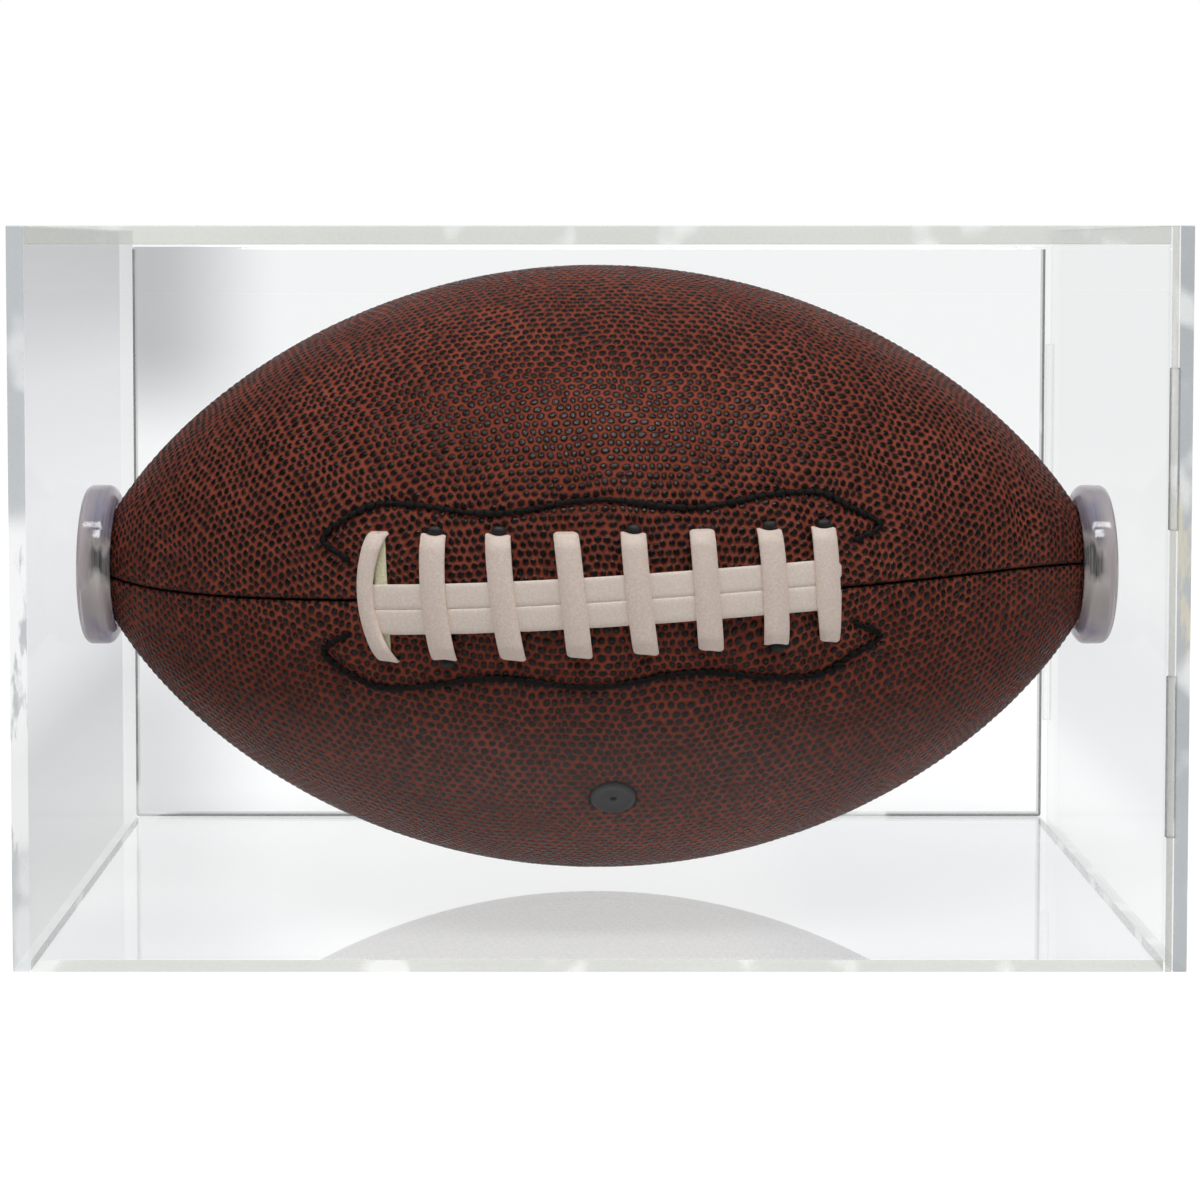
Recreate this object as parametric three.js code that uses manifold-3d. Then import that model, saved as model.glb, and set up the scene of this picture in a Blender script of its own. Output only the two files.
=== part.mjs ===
// Football display case: a clear acrylic case with a removable end plate and a cup at each end
// that holds a football by its tips. Millimetres, +X along the case to the removable end,
// +Y to the back, +Z up, origin at the centre of the base.
import * as THREE from "three";
import { mergeVertices } from "three/addons/utils/BufferGeometryUtils.js";
import Module from "manifold-3d";

const wasm = await Module();
wasm.setup();

// ---- Case ----
const CASE_LENGTH = 297;
const CASE_DEPTH = 188.5;
const CASE_HEIGHT = 188.5;
const WALL = 4.7; // front, back and top sheets
const FLOOR = 3; // bottom sheet
const LEFT_END = 4.3;
const END_PLATE = 3.5;
const RIM = 1.8; // frame bonded to the open end
const GAP = 0.3; // glue line or running clearance between neighbours

const CASE_LEFT = -CASE_LENGTH / 2;
const CASE_RIGHT = CASE_LENGTH / 2;
const PLATE_INNER = CASE_RIGHT - END_PLATE;
const RIM_OUTER = PLATE_INNER - GAP;
const RIM_INNER = RIM_OUTER - RIM;
const LEFT_INNER = CASE_LEFT + LEFT_END;
const SHELL_LEFT = LEFT_INNER + GAP;
const SHELL_RIGHT = RIM_INNER - GAP;
const SHELL_TOP = CASE_HEIGHT - WALL;
const SIDE = CASE_DEPTH / 2;

// ---- Locating tabs, in slots in the rim and pockets in the end plate ----
const TAB_HEIGHT = 41;
const TAB_THICKNESS = 2.3;
const TAB_IN_RIM = 1.5;
const TAB_IN_PLATE = 0.6;
const TAB_FROM_MIDDLE = 39;
const TAB_Y = SIDE - WALL / 2;

// ---- Cups ----
const CUP_RADIUS = 22.5;
const CUP_LENGTH = 9;
const CUP_CLEARANCE = 0.5;
const CUP_BORE = 4.7;
const CUP_BASE_ROUND = 2;
const CUP_RIM_ROUND = 3;
const CUP_SEGMENTS = 24;
const CUP_ROUND_STEPS = 4;
const CUP_DISH_STEPS = 6;

// ---- Football ----
const BALL_RADIUS = 85;
const BALL_HALF_LENGTH = 143;
const BALL_FULLNESS = 0.705; // power that shapes the profile between spindle and ellipse
const BALL_X = (LEFT_INNER + PLATE_INNER) / 2;
const BALL_Z = (FLOOR + SHELL_TOP) / 2;
const BALL_STEPS = 28;
const PANEL_STEPS = 8; // round the ball, per quarter
const LEATHER = 2.6;
const SEAM_GAP = 0.3;
const SEAM_TURN = 0.05; // degrees the seams lie up from the front line at the middle
const SEAM_TILT = 0.0134; // further degrees per millimetre along the ball
const SEAM_CURVE = 1.93e-6; // and per cubic millimetre, which swings them towards the tips
const TIP_HOLE = 1.5; // the four panels stop this far from the axis
const BLADDER_DEPTH = 3.2;
const BLADDER_WALL = 1;
const BLADDER_STEPS = 16;
const BLADDER_SEGMENTS = 20;

const VALVE_X = 3.5;
const VALVE_ANGLE = -40.2;
const VALVE_RADIUS = 6;
const STEM_RADIUS = 3.7;
const STEM_LENGTH = 6;
const NEEDLE_RADIUS = 0.8;
const VALVE_PROUD = 0.2;
const VALVE_EDGE = 0.5;
const VALVE_SEGMENTS = 28;

// ---- Laces and stitching ----
const LACE_X = 1.4;
const STRIP_WIDTH = 6.1;
const STRIP_SPACING = 6.4;
const STRIP_THICKNESS = 1.2;
const STRIP_START = -59.1;
const STRIP_END = 62.3;
const STRIP_TURN = -0.25; // degrees the strips lie up from the front line at the middle
const STRIP_TILT = 0.042; // further degrees per millimetre along the ball
const STRIP_STEPS = 24;
const CROSSBARS = 8;
const CROSSBAR_PITCH = 17.1;
const END_PITCH = 14.3; // from each end bar to its neighbour
const CROSSBAR_WIDTH = 6.8;
const CROSSBAR_HALF = 16.7;
const CROSSBAR_SHORTENS = 0.016; // of that half length, per millimetre along the ball
const CROSSBAR_THICKNESS = 1.5;
const CROSSBAR_TURN = 0.88;
const CROSSBAR_TILT = 0.023;
const CROSSBAR_LEAN = 0.08;
const FIRST_BAR_BOW = -5; // the first bar is pushed outwards at its middle
const CROSSBAR_NARROWS = 0.12; // share of its width lost at the ends
const CROSSBAR_THINS = 0.45; // share of its thickness lost at its edges and ends
const CROSSBAR_STEEP = 3.2; // how soon a bar rises onto the strips
const CROSSBAR_STEPS_ACROSS = 4;
const CROSSBAR_STEPS_ALONG = 12;
const STITCH_WIDTH = 1.8;
const STITCH_HEIGHT = 0.5;
const STITCH_FROM_LACES = 23;
const STITCH_WAVE = 1.5;
const STITCH_PERIOD = 51.5;
const STITCH_LEFT_HOOK = [[-65.2, 9.5], [-72, 14.8], [-66, 20.5]];
const STITCH_RIGHT_HOOK = [[64.6, 20], [73, 14.7], [66, 10.8]];
const STITCH_WAVE_END = 58;
const STITCH_WAVE_SHIFT = 2; // from the middle of the ball to a crest of the wave
const STITCH_WAVE_POINTS = 14;
const STITCH_STEPS = 90;

const RADIANS = Math.PI / 180;
const group = new THREE.Group();

function acrylic(colour) {
  return new THREE.MeshStandardMaterial({ color: colour, roughness: 0.06, metalness: 0 });
}

function leather() {
  return new THREE.MeshStandardMaterial({ color: 0x5a2418, roughness: 0.62, metalness: 0 });
}

function rubber(colour) {
  return new THREE.MeshStandardMaterial({ color: colour, roughness: 0.7, metalness: 0 });
}

function lace() {
  return new THREE.MeshStandardMaterial({ color: 0xd9cbc3, roughness: 0.75, metalness: 0 });
}

function addPiece(name, geometry, material) {
  const mesh = new THREE.Mesh(geometry, material);
  mesh.name = name;
  group.add(mesh);
}

// A box between two corners.
function block(low, high) {
  const size = high.map((value, axis) => value - low[axis]);
  const middle = high.map((value, axis) => (value + low[axis]) / 2);
  return new THREE.BoxGeometry(...size).translate(...middle);
}

// The manifold-3d solid of a closed three.js geometry.
function solidOf(geometry) {
  const bare = geometry.clone();
  bare.deleteAttribute("normal");
  bare.deleteAttribute("uv");
  const merged = mergeVertices(bare, 1e-4);
  return new wasm.Manifold(
    new wasm.Mesh({
      numProp: 3,
      vertProperties: new Float32Array(merged.attributes.position.array),
      triVerts: new Uint32Array(merged.index.array),
    }),
  );
}

// The first geometry with the others cut out of it.
function cutFrom(geometry, cutters) {
  let solid = solidOf(geometry);
  for (const cutter of cutters) {
    solid = solid.subtract(solidOf(cutter));
  }
  const mesh = solid.getMesh();
  const result = new THREE.BufferGeometry();
  result.setAttribute("position", new THREE.BufferAttribute(mesh.vertProperties, 3));
  result.setIndex(new THREE.BufferAttribute(mesh.triVerts, 1));
  result.computeVertexNormals();
  return result;
}

// A closed patch between an outer and an inner surface, both given over 0..1 by 0..1.
function thickPatch(outerAt, innerAt, stepsU, stepsV) {
  const positions = [];
  const index = [];
  const layer = (stepsU + 1) * (stepsV + 1);
  for (const pointAt of [outerAt, innerAt]) {
    for (let i = 0; i <= stepsU; i++) {
      for (let j = 0; j <= stepsV; j++) {
        positions.push(...pointAt(i / stepsU, j / stepsV));
      }
    }
  }
  const outer = (i, j) => i * (stepsV + 1) + j;
  const inner = (i, j) => layer + outer(i, j);
  const quad = (a, b, c, d) => index.push(a, b, c, a, c, d);
  for (let i = 0; i < stepsU; i++) {
    for (let j = 0; j < stepsV; j++) {
      quad(outer(i, j), outer(i + 1, j), outer(i + 1, j + 1), outer(i, j + 1));
      quad(inner(i, j), inner(i, j + 1), inner(i + 1, j + 1), inner(i + 1, j));
    }
    quad(outer(i, 0), inner(i, 0), inner(i + 1, 0), outer(i + 1, 0));
    quad(outer(i, stepsV), outer(i + 1, stepsV), inner(i + 1, stepsV), inner(i, stepsV));
  }
  for (let j = 0; j < stepsV; j++) {
    quad(outer(0, j), outer(0, j + 1), inner(0, j + 1), inner(0, j));
    quad(outer(stepsU, j), inner(stepsU, j), inner(stepsU, j + 1), outer(stepsU, j + 1));
  }
  const geometry = new THREE.BufferGeometry();
  geometry.setAttribute("position", new THREE.Float32BufferAttribute(positions, 3));
  geometry.setIndex(index);
  geometry.computeVertexNormals();
  return geometry;
}

// ---- Shape of the football ----

// Radius at a distance x along the ball from its middle, for a layer this deep in it.
function ballRadius(x, depth = 0) {
  const along = x / (BALL_HALF_LENGTH - depth);
  return (BALL_RADIUS - depth) * Math.max(1 - along * along, 0) ** BALL_FULLNESS;
}

// How far along the ball a layer has come down to a given radius.
function ballReach(radius, depth = 0) {
  const share = (radius / (BALL_RADIUS - depth)) ** (1 / BALL_FULLNESS);
  return (BALL_HALF_LENGTH - depth) * Math.sqrt(1 - share);
}

// A point round the ball's axis. Angle 0 faces the front and 90 degrees faces up.
function roundAxis(x, radius, angle) {
  return [BALL_X + x, -radius * Math.cos(angle), BALL_Z + radius * Math.sin(angle)];
}

// The seams wander by some degrees towards the tips, as they do on a stitched ball.
function seamTurn(x) {
  return (SEAM_TURN + SEAM_TILT * x + SEAM_CURVE * x ** 3) * RADIANS;
}

// The bars and the stitching share a centre line that climbs slowly along the ball.
function crossbarTurn(x) {
  return (CROSSBAR_TURN + CROSSBAR_TILT * x) * RADIANS;
}

// A point a height above the leather, at an arc distance up from the front line.
function overLeather(x, arc, height, turn) {
  const radius = ballRadius(x);
  return roundAxis(x, radius + height, arc / radius + turn);
}

// ---- Case pieces ----

function addPanels() {
  const clear = () => acrylic(0xe4ebec);
  const shellLow = FLOOR + GAP;
  const shellHigh = SHELL_TOP - GAP;
  addPiece(
    "left_end_panel",
    block([CASE_LEFT, -SIDE, 0], [LEFT_INNER, SIDE, CASE_HEIGHT]),
    clear(),
  );
  addPiece(
    "bottom_panel",
    block([SHELL_LEFT, -SIDE, 0], [SHELL_RIGHT, SIDE, FLOOR]),
    clear(),
  );
  addPiece(
    "top_panel",
    block([SHELL_LEFT, -SIDE, SHELL_TOP], [SHELL_RIGHT, SIDE, CASE_HEIGHT]),
    clear(),
  );
  addPiece(
    "front_panel",
    block([SHELL_LEFT, -SIDE, shellLow], [SHELL_RIGHT, WALL - SIDE, shellHigh]),
    clear(),
  );
  addPiece(
    "back_panel",
    block([SHELL_LEFT, SIDE - WALL, shellLow], [SHELL_RIGHT, SIDE, shellHigh]),
    clear(),
  );
}

// The places of the four locating tabs: front or back, upper or lower.
function tabPlaces() {
  const places = [];
  for (const [side, y] of [["front", -TAB_Y], ["back", TAB_Y]]) {
    for (const [level, up] of [["upper", 1], ["lower", -1]]) {
      places.push({ name: `tab_${side}_${level}`, y, z: BALL_Z + up * TAB_FROM_MIDDLE });
    }
  }
  return places;
}

// A box round a tab's place, grown by a clearance on its four long sides.
function tabBlock(place, fromX, toX, clearance) {
  const halfY = TAB_THICKNESS / 2 + clearance;
  const halfZ = TAB_HEIGHT / 2 + clearance;
  return block(
    [fromX, place.y - halfY, place.z - halfZ],
    [toX, place.y + halfY, place.z + halfZ],
  );
}

function addRim() {
  const sheet = block([RIM_INNER, -SIDE, 0], [RIM_OUTER, SIDE, CASE_HEIGHT]);
  const beyond = 1;
  const window = block(
    [RIM_INNER - beyond, WALL - SIDE, FLOOR],
    [RIM_OUTER + beyond, SIDE - WALL, SHELL_TOP],
  );
  const slots = tabPlaces().map((place) =>
    tabBlock(place, RIM_INNER - beyond, RIM_OUTER + beyond, GAP),
  );
  addPiece("right_rim", cutFrom(sheet, [window, ...slots]), acrylic(0xdcded6));
}

function addEndPlate() {
  const plate = block([PLATE_INNER, -SIDE, 0], [CASE_RIGHT, SIDE, CASE_HEIGHT]);
  const pocketEnd = PLATE_INNER + TAB_IN_PLATE + GAP;
  const pockets = tabPlaces().map((place) => tabBlock(place, PLATE_INNER - 1, pocketEnd, GAP));
  addPiece("end_plate", cutFrom(plate, pockets), acrylic(0xdde4e6));
  for (const place of tabPlaces()) {
    const tab = tabBlock(place, RIM_OUTER - TAB_IN_RIM, PLATE_INNER + TAB_IN_PLATE, 0);
    addPiece(place.name, tab, acrylic(0xd5d9d4));
  }
}

// A ring with rounded edges whose inside follows the ball's tip. It grows in direction from wallX.
function cup(wallX, direction) {
  const profile = [new THREE.Vector2(CUP_BORE, 0)];
  for (let i = 0; i <= CUP_ROUND_STEPS; i++) {
    const turn = (i / CUP_ROUND_STEPS) * 90 * RADIANS;
    const radius = CUP_RADIUS - CUP_BASE_ROUND * (1 - Math.sin(turn));
    profile.push(new THREE.Vector2(radius, CUP_BASE_ROUND * (1 - Math.cos(turn))));
  }
  const fromMiddle = Math.abs(wallX - BALL_X);
  const lipRadius = ballRadius(fromMiddle - CUP_LENGTH) + CUP_CLEARANCE;
  for (let i = 0; i <= CUP_ROUND_STEPS; i++) {
    const turn = (i / CUP_ROUND_STEPS) * 90 * RADIANS;
    const radius = lipRadius + (CUP_RADIUS - lipRadius) * Math.cos(turn);
    const height = CUP_LENGTH - CUP_RIM_ROUND * (1 - Math.sin(turn));
    profile.push(new THREE.Vector2(radius, height));
  }
  for (let i = 1; i <= CUP_DISH_STEPS; i++) {
    const share = (i / CUP_DISH_STEPS) ** 0.6; // closer together towards the bore
    const radius = lipRadius + (CUP_BORE - lipRadius) * share;
    const x = ballReach(radius - CUP_CLEARANCE);
    profile.push(new THREE.Vector2(radius, fromMiddle - x));
  }
  profile.push(profile[0].clone());
  const ring = new THREE.LatheGeometry(profile, CUP_SEGMENTS);
  ring.rotateZ(direction > 0 ? -90 * RADIANS : 90 * RADIANS);
  ring.translate(wallX, 0, BALL_Z);
  return ring;
}

// ---- Football pieces ----

// One quarter of the ball's cover, from one seam up to the next.
function leatherPanel(fromAngle) {
  const surfaceAt = (depth) => (u, v) => {
    const reach = ballReach(TIP_HOLE, depth);
    // Steps bunch up towards the tips, where the profile bends most.
    const x = -reach * Math.cos(u * Math.PI);
    const radius = ballRadius(x, depth);
    const inset = Math.asin(Math.min(SEAM_GAP / 2 / radius, 0.5));
    const low = fromAngle * RADIANS + inset;
    const high = (fromAngle + 90) * RADIANS - inset;
    return roundAxis(x, radius, low + (high - low) * v + seamTurn(x));
  };
  return thickPatch(surfaceAt(0), surfaceAt(LEATHER), BALL_STEPS, PANEL_STEPS);
}

// A cylinder along the valve's own direction, out through the ball's wall.
function valveBlank(radius) {
  const blank = new THREE.CylinderGeometry(radius, radius, BALL_RADIUS, VALVE_SEGMENTS);
  blank.translate(0, BALL_RADIUS, 0);
  return pointAlongValve(blank);
}

// Turns a geometry built up from the origin along +Y into the valve's place and direction.
function pointAlongValve(geometry) {
  const angle = VALVE_ANGLE * RADIANS;
  const outwards = new THREE.Vector3(0, -Math.cos(angle), Math.sin(angle));
  const turn = new THREE.Quaternion().setFromUnitVectors(new THREE.Vector3(0, 1, 0), outwards);
  geometry.applyQuaternion(turn);
  geometry.translate(BALL_X + VALVE_X, 0, BALL_Z);
  return geometry;
}

function addLeather() {
  const quarters = [
    ["leather_front_upper", 0],
    ["leather_back_upper", 90],
    ["leather_back_lower", 180],
    ["leather_front_lower", 270],
  ];
  for (const [name, fromAngle] of quarters) {
    let panel = leatherPanel(fromAngle);
    if (name === "leather_front_lower") {
      panel = cutFrom(panel, [valveBlank(VALVE_RADIUS + GAP)]);
    }
    addPiece(name, panel, leather());
  }
}

function addBladder() {
  const egg = (depth) => {
    const profile = [];
    for (let i = 0; i <= BLADDER_STEPS; i++) {
      const x = -(BALL_HALF_LENGTH - depth) * Math.cos((i / BLADDER_STEPS) * Math.PI);
      profile.push(new THREE.Vector2(ballRadius(x, depth), x));
    }
    const skin = new THREE.LatheGeometry(profile, BLADDER_SEGMENTS);
    skin.rotateZ(-90 * RADIANS);
    skin.translate(BALL_X, 0, BALL_Z);
    return skin;
  };
  const hollow = egg(BLADDER_DEPTH + BLADDER_WALL);
  const bladder = cutFrom(egg(BLADDER_DEPTH), [hollow, valveBlank(STEM_RADIUS + GAP)]);
  addPiece("bladder", bladder, rubber(0x202020));
}

function addValve() {
  const top = ballRadius(VALVE_X) + VALVE_PROUD;
  const headBottom = top - LEATHER;
  const stemBottom = headBottom - STEM_LENGTH;
  const profile = [
    [0, stemBottom],
    [STEM_RADIUS, stemBottom],
    [STEM_RADIUS, headBottom],
    [VALVE_RADIUS, headBottom],
    [VALVE_RADIUS, top - VALVE_EDGE],
    [VALVE_RADIUS - VALVE_EDGE, top],
    [NEEDLE_RADIUS, top],
    [NEEDLE_RADIUS, stemBottom + 1],
    [0, stemBottom + 1],
  ];
  const points = profile.map(([radius, height]) => new THREE.Vector2(radius, height));
  const valve = pointAlongValve(new THREE.LatheGeometry(points, VALVE_SEGMENTS));
  addPiece("valve", valve, rubber(0x2b2b2c));
}

function addLaceStrips() {
  for (const [name, side] of [["lace_strip_upper", 1], ["lace_strip_lower", -1]]) {
    const heightAt = (height) => (u, v) => {
      const x = STRIP_START + (STRIP_END - STRIP_START) * u;
      const arc = (side * STRIP_SPACING) / 2 + (v - 0.5) * STRIP_WIDTH;
      const turn = (STRIP_TURN + STRIP_TILT * x) * RADIANS;
      return overLeather(x, arc, height, turn);
    };
    const strip = thickPatch(heightAt(GAP + STRIP_THICKNESS), heightAt(GAP), STRIP_STEPS, 2);
    addPiece(name, strip, lace());
  }
}

// Where a bar crosses the strips, along the ball. The two end bars stand closer to the others.
function crossbarX(number) {
  const fromMiddle = number - (CROSSBARS + 1) / 2;
  const atEnd = number === 1 || number === CROSSBARS;
  const closer = atEnd ? Math.sign(fromMiddle) * (CROSSBAR_PITCH - END_PITCH) : 0;
  return LACE_X + fromMiddle * CROSSBAR_PITCH - closer;
}

// A cushioned bar that lies on the leather at both ends and bows up over the two strips.
function crossbar(number) {
  const middleX = crossbarX(number);
  const half = CROSSBAR_HALF - CROSSBAR_SHORTENS * middleX;
  const bow = number === 1 ? FIRST_BAR_BOW : 0;
  const pointAt = (outer) => (u, v) => {
    const along = 2 * v - 1;
    const across = 2 * u - 1;
    const endTaper = 1 - CROSSBAR_NARROWS * along ** 6;
    const arc = along * half;
    const centreX = middleX - CROSSBAR_LEAN * arc + bow * (1 - along ** 2);
    const x = centreX + (across * CROSSBAR_WIDTH * endTaper) / 2;
    const onStrips = Math.min(1, CROSSBAR_STEEP * (1 - Math.abs(along)));
    const rise = (STRIP_THICKNESS + GAP) * onStrips;
    const edge = (1 - CROSSBAR_THINS * across ** 4) * (1 - CROSSBAR_THINS * along ** 8);
    const cushion = CROSSBAR_THICKNESS * edge;
    const height = GAP + rise + (outer ? cushion : 0);
    return overLeather(x, arc, height, crossbarTurn(middleX));
  };
  return thickPatch(
    pointAt(true),
    pointAt(false),
    CROSSBAR_STEPS_ACROSS,
    CROSSBAR_STEPS_ALONG,
  );
}

// The centre line of a stitched outline: a wave along the laces with a pointed turn at each end.
function stitchLine(side) {
  const points = [];
  const add = (x, arc) => points.push(new THREE.Vector3(x, side * arc, 0));
  for (const [x, arc] of STITCH_LEFT_HOOK) {
    add(x, arc);
  }
  for (let i = 0; i <= STITCH_WAVE_POINTS; i++) {
    const x = STITCH_WAVE_END * ((2 * i) / STITCH_WAVE_POINTS - 1);
    const phase = (2 * Math.PI * (x + STITCH_WAVE_SHIFT)) / STITCH_PERIOD;
    const wave = STITCH_WAVE * Math.cos(phase);
    add(x, STITCH_FROM_LACES + wave);
  }
  for (const [x, arc] of STITCH_RIGHT_HOOK) {
    add(x, arc);
  }
  return new THREE.CatmullRomCurve3(points, false, "centripetal");
}

function stitching(side) {
  const line = stitchLine(side);
  const pointAt = (height) => (u, v) => {
    const centre = line.getPointAt(u);
    const along = line.getTangentAt(u);
    const offset = (v - 0.5) * STITCH_WIDTH;
    const x = centre.x - along.y * offset;
    return overLeather(x, centre.y + along.x * offset, height, crossbarTurn(x));
  };
  return thickPatch(pointAt(GAP + STITCH_HEIGHT), pointAt(GAP), STITCH_STEPS, 1);
}

// ---- Assembly ----
addPanels();
addRim();
addEndPlate();
addPiece("left_cup", cup(LEFT_INNER + GAP, 1), acrylic(0xd8d6dc));
addPiece("right_cup", cup(PLATE_INNER - GAP, -1), acrylic(0xd8d6dc));
addLeather();
addBladder();
addValve();
addLaceStrips();
for (let number = 1; number <= CROSSBARS; number++) {
  addPiece(`crossbar_${number}`, crossbar(number), lace());
}
for (const [name, side] of [["stitch_upper", 1], ["stitch_lower", -1]]) {
  addPiece(name, stitching(side), rubber(0x16120f));
}

export default group;
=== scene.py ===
"""Football display case: a clear acrylic case with a removable end plate, holding a pebbled leather
football between two round cups. Everything is in metres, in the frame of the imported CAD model:
+X along the case to the removable end, +Y to the back, +Z up."""

import math

import bmesh
import bpy
import numpy as np
from mathutils import Matrix, Vector


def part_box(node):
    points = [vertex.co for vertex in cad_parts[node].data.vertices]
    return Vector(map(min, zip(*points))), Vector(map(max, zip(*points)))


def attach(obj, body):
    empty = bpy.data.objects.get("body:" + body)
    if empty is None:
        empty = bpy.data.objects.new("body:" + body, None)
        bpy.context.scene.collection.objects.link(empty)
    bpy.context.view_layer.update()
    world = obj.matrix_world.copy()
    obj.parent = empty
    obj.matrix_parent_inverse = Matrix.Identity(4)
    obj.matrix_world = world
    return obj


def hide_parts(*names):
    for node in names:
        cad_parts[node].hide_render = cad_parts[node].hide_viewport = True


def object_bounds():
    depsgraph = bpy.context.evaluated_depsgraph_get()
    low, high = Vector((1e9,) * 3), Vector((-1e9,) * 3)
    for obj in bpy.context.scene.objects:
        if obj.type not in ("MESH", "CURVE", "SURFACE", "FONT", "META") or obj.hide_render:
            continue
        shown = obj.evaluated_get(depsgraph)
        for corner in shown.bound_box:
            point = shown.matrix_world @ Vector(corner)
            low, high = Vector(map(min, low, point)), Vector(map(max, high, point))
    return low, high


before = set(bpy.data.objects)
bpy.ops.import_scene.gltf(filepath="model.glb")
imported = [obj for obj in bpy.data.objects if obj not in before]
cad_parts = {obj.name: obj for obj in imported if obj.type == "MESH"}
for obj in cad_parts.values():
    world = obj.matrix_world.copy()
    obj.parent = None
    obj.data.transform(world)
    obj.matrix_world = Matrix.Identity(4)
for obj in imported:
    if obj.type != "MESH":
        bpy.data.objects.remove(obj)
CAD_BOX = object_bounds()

MM = 0.001
X, Y, Z = range(3)  # axes

# ---- Football, as in the CAD model ----
BALL_RADIUS = 85 * MM
BALL_HALF_LENGTH = 143 * MM
BALL_FULLNESS = 0.705  # power that shapes the profile between spindle and ellipse
LEATHER_THICKNESS = 2.6 * MM
SEAM_GAP = 0.3 * MM
TIP_HOLE = 1.5 * MM  # the panels stop this far from the axis
LEATHER_STEP = 0.7 * MM  # between points of the leather, along the ball
PANEL_COLUMNS = 190  # points across the outside of a panel
INNER_COLUMNS = 6
SEAM_ROLL = 1.6 * MM  # how far from a seam the leather starts to turn in
SEAM_DEPTH = 0.9 * MM
SEAM_TURN = math.radians(0.05)  # how far up from the front line the seams lie at the middle
SEAM_TILT = math.radians(0.0134) / MM  # and how much further along the ball
SEAM_CURVE = math.radians(1.93e-6) / MM**3  # which swings them more towards the tips
# The darkening near the seams is painted shade in their creases.
SEAM_SHADE_REACH = 1 * MM  # how far from a seam the leather is darker
TIP_PLAIN = 6 * MM  # the radius under which the pebbles fade out
PEBBLE_SPACING = 2.5 * MM
PEBBLE_DEPTH = 0.3 * MM
PEBBLE_STRAY = (0.2, 0.2, 0)  # how far pebbles stray from their rows, in spacings
ROW_PAIR = math.sqrt(3)  # two rows of pebbles, in spacings
WANDER = 0.15  # how far each gentle wave moves the rows, in spacings
WANDER_WAVES = 7
WANDER_LENGTHS = (4.8, 14)  # in spacings
LACED_AREA = (85 * MM, 34 * MM)  # half its length and half its height
STITCH_PULL = 0.5 * MM  # how far the leather is drawn in under the stitching
STITCH_PULL_REACH = 1.4 * MM
HOLE_PULL = 0.8 * MM
HOLE_PULL_REACH = (2.6 * MM, 1.7 * MM)

VALVE_X = 3.5 * MM
VALVE_ANGLE = math.radians(-40.2)
VALVE_RADIUS = 6 * MM
VALVE_ROOM = 0.5 * MM
VALVE_RECESS = 2.9 * MM

LACE_X = 1.4 * MM
STRIP_WIDTH = 6.35 * MM
STRIP_SPACING = 6.4 * MM
STRIP_THICKNESS = 1.2 * MM
STRIP_START = -59.1 * MM
STRIP_END = 62.3 * MM
STRIP_TURN = math.radians(-0.25)
STRIP_TILT = math.radians(0.042) / MM
STRIP_ROUND = 3.4 * MM  # length of its rounded end
STRIP_SWELL = 0.25 * MM  # how much it swells between the bars
STRIP_SINKS = 0.2 * MM
LACE_LIFT = 0.25 * MM
CROSSBARS = 8
CROSSBAR_PITCH = 17.1 * MM
END_PITCH = 14.3 * MM
CROSSBAR_WIDTH = 6.8 * MM
CROSSBAR_HALF = 16.7 * MM
CROSSBAR_SHORTENS = 0.016  # of that half length, per length along the ball
CROSSBAR_THICKNESS = 1.5 * MM
CROSSBAR_TURN = math.radians(0.88)
CROSSBAR_TILT = math.radians(0.023) / MM
CROSSBAR_LEAN = 0.08
CROSSBAR_STEEP = 3.2  # how soon a bar rises onto the strips
CROSSBAR_CLEARS = 0.3 * MM  # over the strips
CROSSBAR_DIVE = 2.4 * MM  # how deep its ends go into the leather
FIRST_BAR_SHARE = 0.86  # of the other bars' width
FIRST_BAR_WAIST = 0.24
LAST_BAR_TAPER = 0.3
END_HOLLOWS = (1.3 * MM, 0.3 * MM)  # how far the middle of a bar's open or closed end is drawn in
END_SLANTS = (0.45 * MM, 0.15 * MM)  # at its foot and top
END_CORNERS = 0.9 * MM
BAR_BOWS = (-5, -1.5, -0.9, 0, -0.4, 0, 0.6, 0.2)  # mm each bar's middle is pushed along the ball
BAR_SKEWS = (0, 0.01, 0.045, 0.035, 0.03, 0, -0.015, -0.02)  # lean of each bar beyond the others'
OPEN_TOPS = (2, 3, 5, 7, 8)  # the bars whose hole shows at the upper end
OPEN_FEET = (2, 7)
HOLE_BEYOND = 0.3 * MM  # from a bar's end to the middle of its hole
HOLE_HALF_SIZE = (1.9 * MM, 1.25 * MM, 1 * MM)
HOLE_SHIFT = 0.35 * MM
HOLE_SUNK = 0.3 * MM
OPEN_HOLE_INWARDS = 0.35 * MM
CLOSED_HOLE_INWARDS = 2.2 * MM
UNDER_LAYER_WIDTH = 3.4 * MM
UNDER_LAYER_SHIFT = 0.8 * MM
UNDER_LAYER_LEAN = 0.05
STITCH_FROM_LACES = 23 * MM
STITCH_WAVE = 1.5 * MM
STITCH_PERIOD = 51.5 * MM
STITCH_WAVE_END = 58 * MM
STITCH_WAVE_SHIFT = 2 * MM
STITCH_WAVE_POINTS = 15
STITCH_STEPS = 12  # between two of the points
STITCH_LEFT_HOOK = ((-65.2, 9.5), (-72, 14.8), (-66, 20.5))
STITCH_RIGHT_HOOK = ((64.6, 20), (73, 14.7), (66, 10.8))
STITCH_LENGTH = 2.6 * MM
STITCH_WIDTH = 1.7 * MM
STITCH_HEIGHT = 0.9 * MM
STITCH_SUNK = 0.1 * MM
STITCH_SPIN = 0.12  # radians each stitch may lie askew

# Each panel's start, in degrees up round the ball from its front
LEATHER_NODES = {
    "leather_front_upper": 0,
    "leather_back_upper": 90,
    "leather_back_lower": 180,
    "leather_front_lower": 270,
}

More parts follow.
